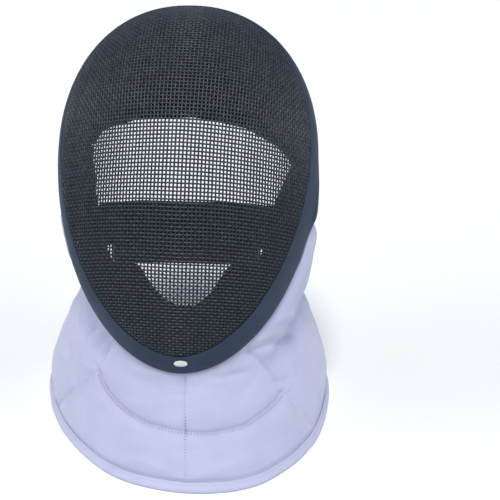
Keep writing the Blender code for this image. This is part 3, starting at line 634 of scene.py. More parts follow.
# Wire crown behind the rim: its line leaves the trim, rises and comes down to the free edge
crown = {"wingEnd": 126.0, "pitch": 0.0033, "wire": 0.00120, "crimp": 0.00045, "sides": 6,
         "behind": 0.0034, "inset": 0.0020, "wingInset": 0.0034, "wingFrom": 94, "wingSoft": 10,
         "leave": 0.36, "rise": 0.19, "arrive": (0.0, 0.004, 0.016), "usual": 0.12,
         "wingArrive": 0.35, "topArrive": 2.4, "middle": 0.45, "lastShare": 0.94}
freeEdgeTable = ((-126, -93, 36, -10), (-121, -95.5, 57, -12), (-115, -97, 72, 4), (-105, -98.5, 88, 26),
                 (-95, -99, 99, 44), (-80, -96.5, 115, 55), (-60, -88.5, 137, 62.5), (-30, -53.5, 158, 67.5),
                 (0, -1, 165, 68), (30, 51, 158, 60), (60, 85, 137, 47), (80, 97, 114, 41),
                 (95, 100, 99, 34), (105, 99.5, 88, 21), (115, 97, 72, 2), (121, 95.5, 57, -12),
                 (126, 93, 36, -10))
crownMiddle = place + np.array((0.0, 0.06, 0.06))


def freeEdge(turn):
    return place + tableAt(freeEdgeTable, np.degrees(turn), 4.0)


def crownRaw(turn, t):
    # crown surface: turn (n), t (n, m), 0 behind the trim to 1 at the free edge
    v = crown
    start, normal, _ = spokeFrame(turn, np.full((len(turn), 1), -v["behind"]))
    start, normal = start[:, 0], normal[:, 0]
    under = smooth((np.abs(np.degrees(turn)) - v["wingFrom"]) / v["wingSoft"])[:, None]
    start = start - (v["inset"] + v["wingInset"] * under) * normal
    end = freeEdge(turn)
    top = np.maximum(np.cos(turn), 0.0)[:, None]
    span = np.linalg.norm(end - start, axis=1, keepdims=True)
    p1 = start + (-outAxis + v["rise"] * top * upAxis) * span * v["leave"]
    p2 = end + np.array(v["arrive"]) * (span / v["usual"]) * (v["wingArrive"] + v["topArrive"] * top)
    t = t[..., None]
    a = 1 - t
    return (a ** 3 * start[:, None] + 3 * a * a * t * p1[:, None]
            + 3 * a * t * t * p2[:, None] + t ** 3 * end[:, None])


def crownPoint(turn, t, sink, normals=False):
    turn = np.atleast_1d(np.asarray(turn, float))
    t = np.asarray(t, float)
    t = np.broadcast_to(t, (len(turn), t.shape[-1]))
    p = crownRaw(turn, t)
    limit = math.radians(crown["wingEnd"])
    e = 0.03
    along = crownRaw(turn, np.minimum(t + e, 1)) - crownRaw(turn, np.maximum(t - e, 0))
    across = crownRaw(np.minimum(turn + e, limit), t) - crownRaw(np.maximum(turn - e, -limit), t)
    normal = unit(np.cross(across, along))
    normal[np.einsum("ijk,ijk->ij", normal, p - crownMiddle) < 0] *= -1
    sink = np.asarray(sink, float)
    made = p - (sink[..., None] if sink.ndim else sink) * normal
    return (made, normal) if normals else made


def crownRun(turn):
    # length of the crown's line at each angle
    return runAlong(crownRaw(turn, np.broadcast_to(np.linspace(0, 1, 11), (len(turn), 11))))[:, -1]


def edgeRun(turn):
    # length for one unit of t close to the free edge
    last = crown["lastShare"]
    p = crownRaw(turn, np.broadcast_to(np.array([last, 1.0]), (len(turn), 2)))
    return np.linalg.norm(p[:, 1] - p[:, 0], axis=1) / (1 - last)


def weaveCrown(v):
    fine = turnRow(-v["wingEnd"], v["wingEnd"], 253)
    run = runAlong(crownRaw(fine, np.full((len(fine), 1), v["middle"]))[:, 0])
    count = int(run[-1] / v["pitch"]) + 1
    turn = np.interp(np.linspace(0, run[-1], count), run, fine)
    rows = int(crownRun(turn).max() / v["pitch"]) + 1
    points, normals = crownPoint(turn, np.linspace(0.0, 1.0, rows), wall["wire"] / 2, normals=True)
    return points, normals, np.ones(points.shape[:2], bool)


wirePieces(("crownLengthWires", "crownRoundWires"), *weaveCrown(crown), crown, "back_mesh")
print("stage: crown wires woven")

# Padded trim round the rim; its section has rows of (way in from the rim, lift off the bowl) in millimetres
trim = {"rounds": 300, "pucker": 0.00022, "waves": (61, 97, 5), "crown": 0.0006, "lip": (0.0, 0.003, 0.008),
        "slot": (0.0006, 0.0085), "earFrom": 0.0052, "earSoft": 0.0032,
        "under": ((9.2, -1), (8.4, -2)), "edge": ((0.7, 0.12), (0.2, -0.35)),
        "fold": ((4, -7.9), (1.2, -8.3), (-1.2, -8), (-2.2, -6.9), (-2.8, -5.5), (-3, -4.1), (-3, -2.8),
                 (-2.6, -1.5), (-1.8, -0.6), (-0.6, -0.1))}
# how much thicker its outer side is by the right ear, over the tip of the bib
earSwell = ((88, 0), (95, 1), (100, 2), (106, 3), (111, 4), (114, 4), (118, 1.8), (122, 0))


def trimPiece(v):
    turn = evenLoop(v["rounds"])
    wide = trimWidth(turn)
    gap, roof = wall["gap"], -wall["trimSink"]
    floor = roof - wall["wire"]
    sections = []

    def add(way, lift):
        sections.append(np.broadcast_arrays(way, lift, turn)[:2])

    # under side, from the inner lip back round the slot that holds the wire's edge
    for off in v["lip"]:
        add(wide - off, wireSink(turn, wide - off) + gap)
    first, last = v["slot"]
    for way, lift in ((last, roof + gap), (first, roof + gap), (first, floor - gap), (last, floor - gap)):
        add(way, lift)
    for way, lift in np.array(v["under"]) / 1000:
        add(way, floor + lift)
    # the fold round the rim, thicker by the right ear
    ear = tableAt(earSwell, np.degrees(turn), 2.5)[..., 0]
    for way, lift in np.array(v["fold"]) / 1000:
        add(way, lift + ear * smooth((lift + v["earFrom"]) / v["earSoft"]))
    # outer face, softly crowned, with short puckers that die out inwards
    many, more, drift = v["waves"]
    wave = np.sin(turn * many + 1.3) * 0.5 + np.sin(turn * more + 4.0 * np.sin(turn * drift)) * 0.5
    calm = 0.25 + 0.75 * smooth((-np.cos(turn) - 0.1) / 0.6)
    for f in np.linspace(0.06, 0.94, 12):
        swell = v["crown"] * math.sin(math.pi * f) ** 0.7
        add(wide * f, swell + v["pucker"] * wave * calm * (1 - f) ** 1.5 + ear * (1 - f) ** 4)
    for off, lift in np.array(v["edge"]) / 1000:
        add(wide - off, lift)
    ways, lifts = np.stack(sections, -1)
    p, n, _ = spokeFrame(turn, ways)
    piece = loft("trimBand", p + n * lifts[..., None], navyHide, closed=True)
    finish(piece, "navy_trim", "face_trim", fill=0.7)


trimPiece(trim)
print("stage: trim made")

# Crown binding, with a row of stitches on the outside of the tape
binding = {"wide": 0.0050, "high": 0.0046, "first": -113, "last": 114, "off": 0.0010, "seamOff": 0.0002,
           "seamLift": 0.00002}


def ovalRing(centre, away, along, wide, high, steps):
    # oval sections across a path; all arrays run along it
    along = unit(along)
    away = unit(away - along * np.sum(away * along, -1, keepdims=True))
    other = np.cross(along, away)
    a = 2 * np.pi * np.arange(steps) / steps
    return (centre[:, None] + away[:, None] * (np.cos(a) * wide / 2)[None, :, None]
            + other[:, None] * (np.sin(a) * high / 2)[None, :, None])


def crownBinding(v):
    turn = turnRow(v["first"], v["last"], 160)
    ends = crownPoint(turn, np.array([crown["lastShare"], 1.0]), wall["wire"] / 2)
    away = unit(ends[:, 1] - ends[:, 0])
    along = np.gradient(freeEdge(turn), axis=0)
    rings = ovalRing(ends[:, 1] + away * (v["wide"] / 2 + v["off"]), away, along, v["wide"], v["high"], 14)
    finish(loft("crownBinding", rings, navyHide), "navy_trim", "rear_binding")
    outward = unit(np.cross(along, away))
    outward *= np.sign(np.sum(outward * (ends[:, 1] - crownMiddle), -1, keepdims=True))
    line = ends[:, 1] + away * (v["wide"] / 2 + v["seamOff"]) + outward * (v["high"] / 2 + v["seamLift"])
    sew("crownBindingStitches", [line], "navy_trim")


crownBinding(binding)

# Linings inside the crown; over says how a pad shifts and sinks where it lies over the strap's end
lining = {"sink": wall["wire"] + 0.0013, "edgeWide": 0.0100, "edgeHigh": 0.0062, "edgeOver": 0.0023,
          "overFrom": 104.5, "overSoft": 4, "thinEnd": 0.16, "uvRadius": 0.11, "flank": 0.45,
          "groove": 0.42, "grooveWide": 1.6}
lastTurn = 84.0
noOver = (0, 0, 0)
earOver = (0.016, 0.026, 0.0029)
# name, node, slot, material, turn, way in at both edges, depth at both ends, how thin the ends are,
# channels, lip, over
pads = (
    ("crownLining", "crown_pad", "grey_lining", greyLining, turnRow(-lastTurn - 0.4, lastTurn + 0.4, 181),
     (0.004, 0.0049), (0.0070, 0.0070), (0.35, 0.35), (-42.0, -14.0, 14.0, 42.0), 0.10, noOver),
    ("earPadRight", "ear_pad_right", "dark_lining", darkLining, turnRow(lastTurn + 0.8, 115.0, 61),
     (0.005, 0.0010), (0.0062, 0.0235), (0.60, 0.80), (), 0.45, earOver),
    ("earPadLeft", "ear_pad_left", "dark_lining", darkLining, -turnRow(lastTurn + 0.8, 115.0, 61),
     (0.005, 0.0010), (0.0075, 0.0180), (0.60, 0.80), (), 0.45, earOver),
)


def padPiece(v, name, node, slot, mat, turn, ways, thick, ends, channels, lip, over, steps=30):
    # padded lining on the inside of the crown
    f = np.linspace(0, 1, steps + 1)
    lower = smooth((np.abs(np.degrees(turn)) - v["overFrom"]) / v["overSoft"])
    run = crownRun(turn)
    low = (ways[0] + over[0] * lower) / run
    high = 1 - ways[1] / edgeRun(turn) - over[1] * lower / run
    t = low[:, None] + (high - low)[:, None] * f[None, :]
    along = np.arange(len(turn)) / (len(turn) - 1)
    least = np.where(along < 0.5, ends[0], ends[1])
    deep = thick[0] + (thick[1] - thick[0]) * along
    deep = deep * (least + (1 - least) * smooth(np.minimum(along, 1 - along) / v["thinEnd"]))
    swell = np.sin(np.pi * f) ** 0.35
    swell = np.where(f > 0.5, lip + (1 - lip) * swell, v["flank"] + (1 - v["flank"]) * swell)
    for at in channels:
        deep = deep * (1 - v["groove"] * np.exp(-((np.degrees(turn) - at) / v["grooveWide"]) ** 2))
    depth = deep[:, None] * swell[None, :]
    back = np.broadcast_to((v["sink"] + over[2] * lower)[:, None], depth.shape)
    uv = np.stack(np.broadcast_arrays(turn[:, None] * v["uvRadius"], f[None, :] * run[:, None]), -1)
    piece = shell(name, crownPoint(turn, t, back), crownPoint(turn, t, back + depth), mat, uv)
    finish(piece, slot, node, fill=0.6)


for pad in pads:
    padPiece(lining, *pad)


def liningTape(v):
    # tape along the front edge of the crown lining
    turn = turnRow(2 - lastTurn, lastTurn - 2, 140)
    mid = 1 - (v["edgeWide"] / 2 - v["edgeOver"]) / edgeRun(turn)
    deep = np.full((len(turn), 3), v["sink"] + v["edgeHigh"] / 2)
    p = crownPoint(turn, np.stack([mid - 0.02, mid, mid + 0.02], 1), deep)
    along = np.gradient(p[:, 1], axis=0)
    rings = ovalRing(p[:, 1], p[:, 2] - p[:, 0], along, v["edgeWide"], v["edgeHigh"], 16)
    finish(loft("liningTape", rings, darkLining), "dark_lining", "crown_edge", fill=0.5)


liningTape(lining)
print("stage: crown lined")

# Chin pad: flat cushion ring inside the lower rim
chin = {"thick": 0.0080, "first": 116.0, "last": 244.0, "in": (0.0005, 0.0025), "deep": (0.0088, 0.0032),
        "startBack": 0.0030, "endBack": 0.0150, "least": 0.45, "seam": 0.80, "seamDip": 0.38,
        "seamWide": 0.018, "stitchLift": 0.0001}
throatTable = ((115, 80, 28), (120, 73, 18), (125, 67, 5), (130, 60, -10), (138, 50, -8), (147, 39, -8),
               (155, 32, -19), (163, 24, -32), (172, 14, -43), (180, 3, -45), (184, -7, -44),
               (191, -17, -38), (199, -29, -26), (207, -39, -10), (215, -47, -10), (225, -60, -12),
               (233, -67, 3), (240, -73, 18), (245, -80, 28))


def chinPiece(v):
    degrees = np.linspace(v["first"], v["last"], 193)
    turn = np.radians(degrees)
    low = smooth((-np.cos(turn) - 0.6) / 0.4)[:, None]
    p, normal, _ = spokeFrame(turn, v["in"][0] + v["in"][1] * low)
    start = p[:, 0] - (v["deep"][0] + v["deep"][1] * low) * normal[:, 0] - v["startBack"] * outAxis
    at = tableAt(throatTable, degrees, 3.0)
    end = place + at[:, :1] * sideAxis + at[:, 1:] * upAxis - v["endBack"] * outAxis
    f = np.concatenate([[0.0, 0.02, 0.05], np.linspace(0.10, 0.90, 21), [0.95, 0.98, 1.0]])
    thick = v["least"] + (1 - v["least"]) * np.minimum(smooth(f / 0.16), smooth((1 - f) / 0.13))
    thick = thick * (1 - v["seamDip"] * np.exp(-((f - v["seam"]) / v["seamWide"]) ** 2))
    line = start[:, None] + (end - start)[:, None] * f[None, :, None]
    half = outAxis * v["thick"] / 2 * thick[None, :, None]
    wide = np.linalg.norm(end - start, axis=1)
    uv = np.stack(np.broadcast_arrays(runAlong(start)[:, None], wide[:, None] * f[None, :]), -1)
    finish(shell("chinPad", line + half, line - half, darkLining, uv), "dark_lining", "chin_pad", fill=0.6)
    k = int(np.argmin(np.abs(f - v["seam"])))
    for name, sign in (("chinPadStitches", 1), ("chinPadBackStitches", -1)):
        sew(name, [(line + sign * half)[:, k] + sign * outAxis * v["stitchLift"]], "dark_lining")


chinPiece(chin)

# Strap behind the head, and its pad; each path is (across, back, up) in millimetres from the rim's zero
strap = {"high": 0.0450, "thick": 0.0024, "ribs": 7, "rib": 0.00022, "round": 0.0003, "seams": (0.045, 0.955),
         "sink": 0.0003, "wingMiddle": 114}
strapPath = ((-85, 88, 2), (-79, 106, -3), (-69, 124, -10), (-50, 142, -16), (-26, 151, -20),
             (0, 153.5, -21), (26, 151, -20), (50, 142, -16), (69, 124, -10), (79.5, 106, -3), (86, 88, 2))
nape = {"high": 0.0250, "half": 0.0030, "off": 0.0033, "drop": 0.0400, "seams": (0.14, 0.86),
        "seamDip": 0.34, "seamWide": 0.035}
napePath = ((-77, 110.5, -5), *strapPath[2:8], (66, 126.5, -11))
# how it lies on the wings: share of the wing, upper and lower angle, stand-off
anchors = ((0.50, 109.0, 122.5, 0.0), (0.72, 108.5, 121.5, 0.0013))


def resample(rows, count):
    # rows of points drawn through a smooth curve, evenly spaced
    flat = rows.reshape(len(rows), -1)
    run = runAlong(rows[:, 0])
    s = np.linspace(0, run[-1], count)
    k = np.clip(np.searchsorted(run, s) - 1, 0, len(run) - 2)
    length = (run[k + 1] - run[k])[:, None]
    made = hermite(flat, np.gradient(flat, run, axis=0), k, (s - run[k])[:, None] / length, length)
    return made.reshape((count,) + rows.shape[1:]), s


def hanging(path, high, inset, drop):
    # band that hangs from a path: upper edge, lower edge and outward
    path = place + np.array(path) / 1000
    along = np.concatenate([path[1:2] - path[:1], path[2:] - path[:-2], path[-1:] - path[-2:-1]])
    along[:, 2] = 0.0
    out = np.cross(worldUp, unit(along))
    top = path - out * inset - worldUp * drop
    return np.stack([top, top - worldUp * high, out], 1)


def anchored(v, side):
    rows = []
    for share, upper, lower, off in anchors:
        sink = wall["wire"] + wall["gap"] + v["thick"] / 2 + v["sink"] + off
        top, low = (crownPoint(math.radians(side * at), [share], sink)[0, 0] for at in (upper, lower))
        ends = crownPoint(math.radians(side * v["wingMiddle"]), [share - 0.1, share + 0.1], sink)[0]
        out = unit(np.cross(ends[1] - ends[0], low - top))
        rows.append((top, low, out if out[0] * side > 0 else -out))
    return np.array(rows)


def bandPiece(name, rows, profile, mat, count, slot, node, fill=None):
    # band through (upper edge, lower edge, outward) rows; profile is (depth, share down) points
    rows, run = resample(rows, count)
    out = unit(rows[:, 2])
    depth, down = np.array(profile).T
    rings = (rows[:, :1] * (1 - down)[None, :, None] + rows[:, 1:2] * down[None, :, None]
             + out[:, None] * depth[None, :, None])
    uv = np.stack(np.broadcast_arrays(run[:, None], down[None, :] * strap["high"]), -1)
    finish(loft(name, rings, mat, uv=uv), slot, node, fill=fill)
    return rows, out


def strapPieces(v):
    # ribbed elastic: fine ridges run its length on both faces
    downs = np.linspace(0.03, 0.97, 8 * v["ribs"] + 1)
    half = v["thick"] / 2
    bulge = half - v["round"] + v["rib"] * np.cos(downs * 2 * np.pi * v["ribs"])
    face = [(half * 0.4, 0.0), *zip(bulge, downs), (half * 0.4, 1.0)]
    profile = face + [(-depth, down) for depth, down in face[::-1]]
    rows = np.concatenate([anchored(v, -1), hanging(strapPath, v["high"], 0.0, 0.0), anchored(v, 1)[::-1]])
    rows, out = bandPiece("rearStrap", rows, profile, blackWebbing, 220, "black_strap", "rear_strap")
    lines = [rows[:, 0] * (1 - d) + rows[:, 1] * d + out * sign * (half + 0.00002)
             for d in v["seams"] for sign in (1, -1)]
    sew("rearStrapStitches", lines, "black_strap")


def napePieces(v):
    # a flat oval with a sewn row near each long edge
    angle = np.linspace(0, 2 * np.pi, 37)[:-1]
    down = 0.5 - 0.5 * np.sign(np.cos(angle)) * np.abs(np.cos(angle)) ** 0.55
    depth = np.sign(np.sin(angle)) * np.abs(np.sin(angle)) ** 0.45 * v["half"]
    depth = depth * (1 - v["seamDip"] * sum(np.exp(-((down - d) / v["seamWide"]) ** 2) for d in v["seams"]))
    rows = hanging(napePath, v["high"], strap["thick"] / 2 + v["off"], v["drop"])
    rows, out = bandPiece("napePad", rows, list(zip(depth, down)), darkLining, 120, "grey_lining", "nape_pad",
                          fill=0.6)
    deep = v["half"] * (1 - v["seamDip"])
    lines = [rows[:, 0] * (1 - d) + rows[:, 1] * d - out * deep for d in v["seams"]]
    sew("napePadStitches", lines, "grey_lining")


strapPieces(strap)
napePieces(nape)
print("stage: strap and pads made")

# Bib: quilted skirt from the trim to the floor
bib = {"wall": 0.0040, "end": 115.0, "puff": 0.0022, "rounds": 351, "steps": 121, "ripple": 0.0006,
       "under": -0.0048, "tuck": (0.0052, 0.0034, 0.33, 0.065), "hemHigh": 0.0087, "tipCalm": 0.45,
       "tipShare": 0.10, "tipDrop": 0.13, "curlShare": 0.22, "frontShare": 0.08, "wingShare": 0.26,
       "innerLift": 0.5, "hemThin": (0.18, 0.93, 0.05)}
bibMiddle = np.array((0.0, 0.050, 0.0))
hemTable = ((0.000, -130, 134), (0.055, -135, 105), (0.110, -134, 78), (0.190, -124, 37), (0.260, -110.5, 6),
            (0.330, -91, -23.5), (0.400, -64.5, -52), (0.450, -38.5, -67.5), (0.500, 2, -76.8),
            (0.550, 40.5, -73.5), (0.600, 68.6, -61.8), (0.670, 98.2, -30.8), (0.740, 117, 3),
            (0.810, 126.5, 36), (0.890, 132, 74), (0.945, 132.5, 102), (1.000, 128, 132))
flareLeft = ((0.0, 0), (0.05, -7.2), (0.10, -13.2), (0.20, -20.6), (0.27, -23.4), (0.32, -24.4),
             (0.385, -22.4), (0.44, -18.2), (0.52, -13.7), (0.61, -7.2), (0.73, -2.4), (0.86, 0.6), (1.0, 0))
flareRight = ((0.0, 0), (0.06, 1.5), (0.14, -1), (0.21, -3.7), (0.27, -9.8), (0.33, -14.4), (0.40, -16.4),
              (0.46, -14.8), (0.53, -11.1), (0.61, -6.6), (0.70, -2.6), (0.85, 0.6), (1.0, 0))
flareFront = ((0.0, 0), (0.08, -3), (0.20, -5.5), (0.35, -5), (0.55, -2), (0.75, 0.4), (0.90, 1.2), (1.0, 0))
# the free back edges curl in a little more: share of the drop, left and right
endCurl = ((0.0, 0, 0), (0.20, 0, 0), (0.40, -3.4, 0), (0.50, -4.8, 0), (0.60, -4.8, -1.2), (0.68, -3.8, -2),
           (0.76, -2.6, -1.8), (0.86, -1.4, 0), (1.0, 0, 0))
# sewn lines as thousandths of the way round the bib and of its drop
seams = {
    "centre": ((511, 30), (511, 100), (509, 245), (508, 417), (508, 555), (507, 708), (507, 863),
               (506, 1000)),
    "arc": ((296, 465), (321, 478), (361, 495), (410, 515), (445, 532), (472, 545), (508, 560), (538, 572),
            (567, 580), (608, 588), (670, 588), (712, 585)),
    "left": ((334, 30), (320, 125), (298, 335), (296, 465), (268, 665), (226, 900), (215, 980)),
    "right": ((650, 30), (658, 103), (682, 278), (701, 432), (712, 585), (725, 770), (749, 980)),
}
# how each line is sewn, in millimetres: depth, then how far off the cloth swells up again on its outer or
# upper side and on its other side
sewn = {"centre": (1.4, 6, 6), "arc": (7, 26, 11), "left": (5.2, 22, 12), "right": (4.6, 22, 12)}
quilt = {"close": 0.62, "gather": 0.00020, "pitches": (0.0115, 0.0071), "gatherOff": 0.005,
         "gatherWide": 0.0045, "drop": 0.150, "underTrim": 0.016, "hemFrom": 0.147, "overHem": 0.026,
         "hemDip": 0.0034, "ease": 0.6}
# folds of the soft cloth: (rise, half width) in millimetres, a hollow if negative, then a line as the seams'
folds = (
    ((-3.6, 5), (660, 103), (711, 177), (796, 378), (854, 460)),
    ((-1.6, 3.4), (761, 163), (857, 385), (890, 400)),
    ((1.4, 4.2), (724, 30), (764, 107), (880, 362)),
    ((-1.8, 3), (691, 463), (710, 503), (729, 542)),
    ((-1.6, 4), (571, 120), (602, 163), (639, 228)),
    ((-3.6, 4.8), (327, 37), (277, 280), (254, 408)),
    ((-2.4, 5.5), (300, 250), (287, 380)),
    ((-1.6, 4.2), (199, 340), (181, 420)),
    ((-1.6, 5), (129, 735), (204, 628), (259, 562)),
    ((1.6, 4.2), (281, 147), (227, 367), (227, 422)),
    ((1, 4.2), (120, 438), (147, 468), (202, 440)),
    ((1.2, 4.2), (120, 628), (211, 560), (292, 492)),
    ((1.3, 4.2), (450, 843), (479, 883), (504, 958)),
    ((1, 4.5), (510, 965), (541, 870), (576, 838)),
)


def hemPoint(share):
    x, y = np.moveaxis(tableAt(hemTable, share, 0.03), -1, 0)
    return np.stack([place[0] + x, place[1] + y, np.full(x.shape, bib["hemHigh"])], -1)


def outwardOf(v):
    # level unit vectors
    return unit(v * np.array((1.0, 1.0, 0.0)))


def bibRest(share, t):
    # middle surface of the bib without quilting, for arrays of equal shape
    share, t = np.broadcast_arrays(np.asarray(share, float), np.asarray(t, float))
    shape = share.shape
    share, t = share.ravel(), t.ravel()
    keys, back = np.unique(share, return_inverse=True)
    turn = np.radians(bib["end"] + (1 - keys) * (360 - 2 * bib["end"]))
    p, normal, _ = spokeFrame(turn, np.full((len(turn), 1), bib["under"]))
    off, less, tuckFrom, tuckSoft = bib["tuck"]
    tuck = smooth((np.abs(keys - 0.5) - tuckFrom) / tuckSoft)[:, None]
    start = p[:, 0] - (off - less * tuck) * normal[:, 0]
    end = hemPoint(keys)
    outward = outwardOf((start + end) / 2 - place - bibMiddle)
    side = smooth((np.abs(keys - 0.5) - bib["frontShare"]) / bib["wingShare"])
    start, end, outward, side, left = start[back], end[back], outward[back], side[back], (keys < 0.5)[back]

    def stand(table, soft):
        at, first, last = (tableAt(table, x, soft)[..., 0] for x in (t, 0.0, 1.0))
        return at - first * (1 - t) - last * t

    wing = np.where(left, stand(flareLeft, 0.04), stand(flareRight, 0.04))
    stands = (1 - side) * stand(flareFront, 0.05) + side * wing
    # the left tip lies over the wing and can't sink so far
    tip = (1 - smooth(share / bib["tipShare"])) * (1 - smooth((t - bib["tipDrop"]) / bib["tipDrop"]))
    stands *= 1 - bib["tipCalm"] * tip
    curl = tableAt(endCurl, t, 0.04)
    for k, fromEnd in enumerate((share, 1 - share)):
        stands += curl[:, k] * (1 - smooth(fromEnd / bib["curlShare"]))
    made = start + (end - start) * t[:, None] + outward * stands[:, None]
    return made.reshape(shape + (3,))


def seamLine(line, per=26):
    # shares along a sewn line or a fold, drawn through a smooth curve
    line = np.array(line) / 1000
    fine = np.linspace(0, len(line) - 1, per * (len(line) - 1) + 1)
    k = np.clip(fine.astype(int), 0, len(line) - 2)
    return hermite(line, np.gradient(line, axis=0), k, (fine - k)[:, None])


def bibNormal(share, t):
    e = 0.01
    a = bibRest(np.minimum(share + e, 1), t) - bibRest(np.maximum(share - e, 0), t)
    d = bibRest(share, np.minimum(t + e, 1)) - bibRest(share, np.maximum(t - e, 0))
    n = unit(np.cross(a, d))
    n[np.sum(n * outwardOf(bibRest(share, t) - place - bibMiddle), -1) < 0] *= -1
    return n


seamShares = {name: seamLine(line) for name, line in seams.items()}
seamPoints = {name: bibRest(s[:, 0], s[:, 1]) for name, s in seamShares.items()}
foldPoints = [bibRest(*seamLine(line[1:]).T) for line in folds]


def outerSide(name, share, t):
    # true above the arc, and on the side panels' side of the lines that run down
    line = seamShares[name]
    if name == "arc":
        return t < np.interp(share, line[:, 0], line[:, 1])
    at = np.interp(t, line[:, 1], line[:, 0])
    return share < at if at.mean() < 0.5 else share > at


def nearLine(p, line):
    # for each of the points p, how far a line is and which of its points is the nearest
    apart = np.linalg.norm(p[:, None] - line[None], axis=2)
    near = apart.argmin(1)
    return apart[np.arange(len(p)), near], near


def quiltLift(p, share, t):
    # how far the quilting swells at points of the middle surface
    v, shape = quilt, p.shape[:-1]
    p, share, t = p.reshape(-1, 3), share.ravel(), t.ravel()
    lift, held = np.zeros(len(p)), np.zeros(len(p))
    for name, line in seamPoints.items():
        deep, outer, inner = (x / 1000 for x in sewn[name])
        d, near = nearLine(p, line)
        inside = 1 - np.clip(d / np.where(outerSide(name, share, t), outer, inner), 0, 1)
        close = 1 - (1 - inside ** 2) ** v["close"]
        held = np.maximum(held, close)
        lift = np.minimum(lift, -deep * close)
        first, second = (runAlong(line)[near] / pitch * 2 * np.pi for pitch in v["pitches"])
        gather = np.sin(first) + 0.6 * np.sin(second + 1.0)
        lift = lift + v["gather"] * gather * np.exp(-((d - v["gatherOff"]) / v["gatherWide"]) ** 2)
    # the trim and the hem tape hold it as a seam does, more softly
    drop = v["drop"] * t
    under = 1 - np.clip(drop / v["underTrim"], 0, 1)
    over = 1 - np.clip((v["hemFrom"] - drop) / v["overHem"], 0, 1)
    for near, dip in ((under, bib["puff"]), (over, v["hemDip"])):
        lift = np.minimum(lift, -dip * (1 - (1 - near ** 2) ** v["ease"]))
    held = np.maximum(held, np.maximum(under, over) ** 2)
    for ((rise, wide), *_), line in zip(folds, foldPoints):
        d, near = nearLine(p, line)
        f = near / (len(line) - 1)
        bend = rise / 1000 * np.exp(-(d * 1000 / wide) ** 2)
        lift = lift + bend * np.sin(np.pi * (0.12 + 0.76 * f)) ** 0.6
    # slack of the cloth, calm at the sewn lines
    slack = (np.sin(share * 41 + 3 * np.sin(t * 5)) * np.sin(t * 13 + 2 * np.sin(share * 17))
             + 0.6 * np.sin(share * 90 + t * 16) * np.sin(t * 21 - share * 30))
    lift = lift + bib["puff"] + bib["ripple"] * slack * (1 - held)
    return lift.reshape(shape)


def panelGrid(rounds, steps):
    # shares of a grid whose lines run along the sewn lines
    k, u = np.meshgrid(np.linspace(0, 1, rounds), np.linspace(0, 1, steps), indexing="ij")
    share, t = k, u
    for _ in range(8):
        arc = np.interp(share, *seamShares["arc"].T)
        t = np.where(u < 0.5, 2 * u * arc, arc + (2 * u - 1) * (1 - arc))
        stops = [(0.0, 0.0 * t)]
        for at, name in ((0.3, "left"), (0.5, "centre"), (0.7, "right")):
            stops.append((at, np.interp(t, *seamShares[name][:, ::-1].T)))
        stops.append((1.0, 0.0 * t + 1))
        for (k0, s0), (k1, s1) in zip(stops[:-1], stops[1:]):
            share = np.where((k >= k0) & (k <= k1), s0 + (s1 - s0) * (k - k0) / (k1 - k0), share)
    return share, t


def bibPiece(v):
    share, t = panelGrid(v["rounds"], v["steps"])
    rest, normal = bibRest(share, t), bibNormal(share, t)
    lift = quiltLift(rest, share, t)[..., None]
    less, thinFrom, thinSoft = v["hemThin"]
    half = v["wall"] / 2 * (1 - less * smooth((t[..., None] - thinFrom) / thinSoft))
    across = runAlong(rest.transpose(1, 0, 2)).T
    across -= across[v["rounds"] // 2][None]
    piece = shell("bibCloth", rest + normal * (half + lift), rest + normal * (lift * v["innerLift"] - half),
                  whiteCloth, np.stack([across, runAlong(rest)], -1))
    return finish(piece, "white_cloth", "bib")


# Hem tape: half its section as (off the cloth's middle, height over the floor) in millimetres
hem = {"half": ((0, 0), (1.8, 0), (3.1, 0.3), (4, 1.2), (4.5, 2.6), (4.6, 4.2), (4.3, 5.8), (3.6, 7.4),
                (2.9, 8.6), (2.4, 9.2), (1.9, 9.3), (1.6, 8.6)),
       "rounds": 301, "pucker": 0.00018, "pitch": 0.0048, "sway": 0.031, "stitch": (0.0035, 0.0078),
       "slopeFrom": 0.95, "leanFrom": 0.0055, "easeFrom": 0.002, "easeSoft": 0.006, "top": 0.0093}


def hemPiece(v):
    share = np.linspace(0, 1, v["rounds"])
    along = unit(hemPoint(np.minimum(share + 0.01, 1)) - hemPoint(np.maximum(share - 0.01, 0)))
    outward = np.cross(along, worldUp)
    # the cloth's own slope just over the tape, so that the tape lies against it
    low, high = bibRest(share, np.ones(len(share))), bibRest(share, np.full(len(share), v["slopeFrom"]))
    slope = (high - low) / (high - low)[:, 2:]
    slope[:, 2] = 0.0
    lift = quiltLift(low, share, np.ones(len(share)))
    foot = hemPoint(share) * np.array((1, 1, 0))
    run = runAlong(foot)
    wave = v["pucker"] * np.sin(run / v["pitch"] * 2 * np.pi + 2 * np.sin(run / v["sway"]))

    def at(off, height):
        lean = slope * (max(height, v["leanFrom"]) - bib["hemHigh"])
        ease = smooth((height - v["easeFrom"]) / v["easeSoft"])
        side = np.sign(off) * wave * np.sin(np.pi * min(height / v["top"], 1))
        side = side + lift * (1.0 if off > 0 else bib["innerLift"]) * ease
        return foot + lean + outward * (off + side)[:, None] + worldUp * height

    half = np.array(v["half"]) / 1000
    section = np.concatenate([half, half[:0:-1] * (-1, 1)])
    rings = np.stack([at(*point) for point in section], 1)
    uv = np.stack(np.broadcast_arrays(run[:, None], runAlong(section)[None, :]), -1)
    piece = finish(loft("bibBinding", rings, whiteTape, uv=uv), "white_cloth", "bib_binding")
    return piece, at(*v["stitch"])


bibCloth = bibPiece(bib)
bibHem, hemLine = hemPiece(hem)
# short dark beads on the centre seam, and a little below the arc, as painted shade of the cloth's puckers
puckers = {"pitch": 0.0028, "long": 0.0026, "thick": 0.0006, "below": 0.011, "first": 0.004, "last": 0.003,
           "lift": 0.0002, "arcLift": 0.0003, "threadLift": 0.00008, "lastShare": 0.955}


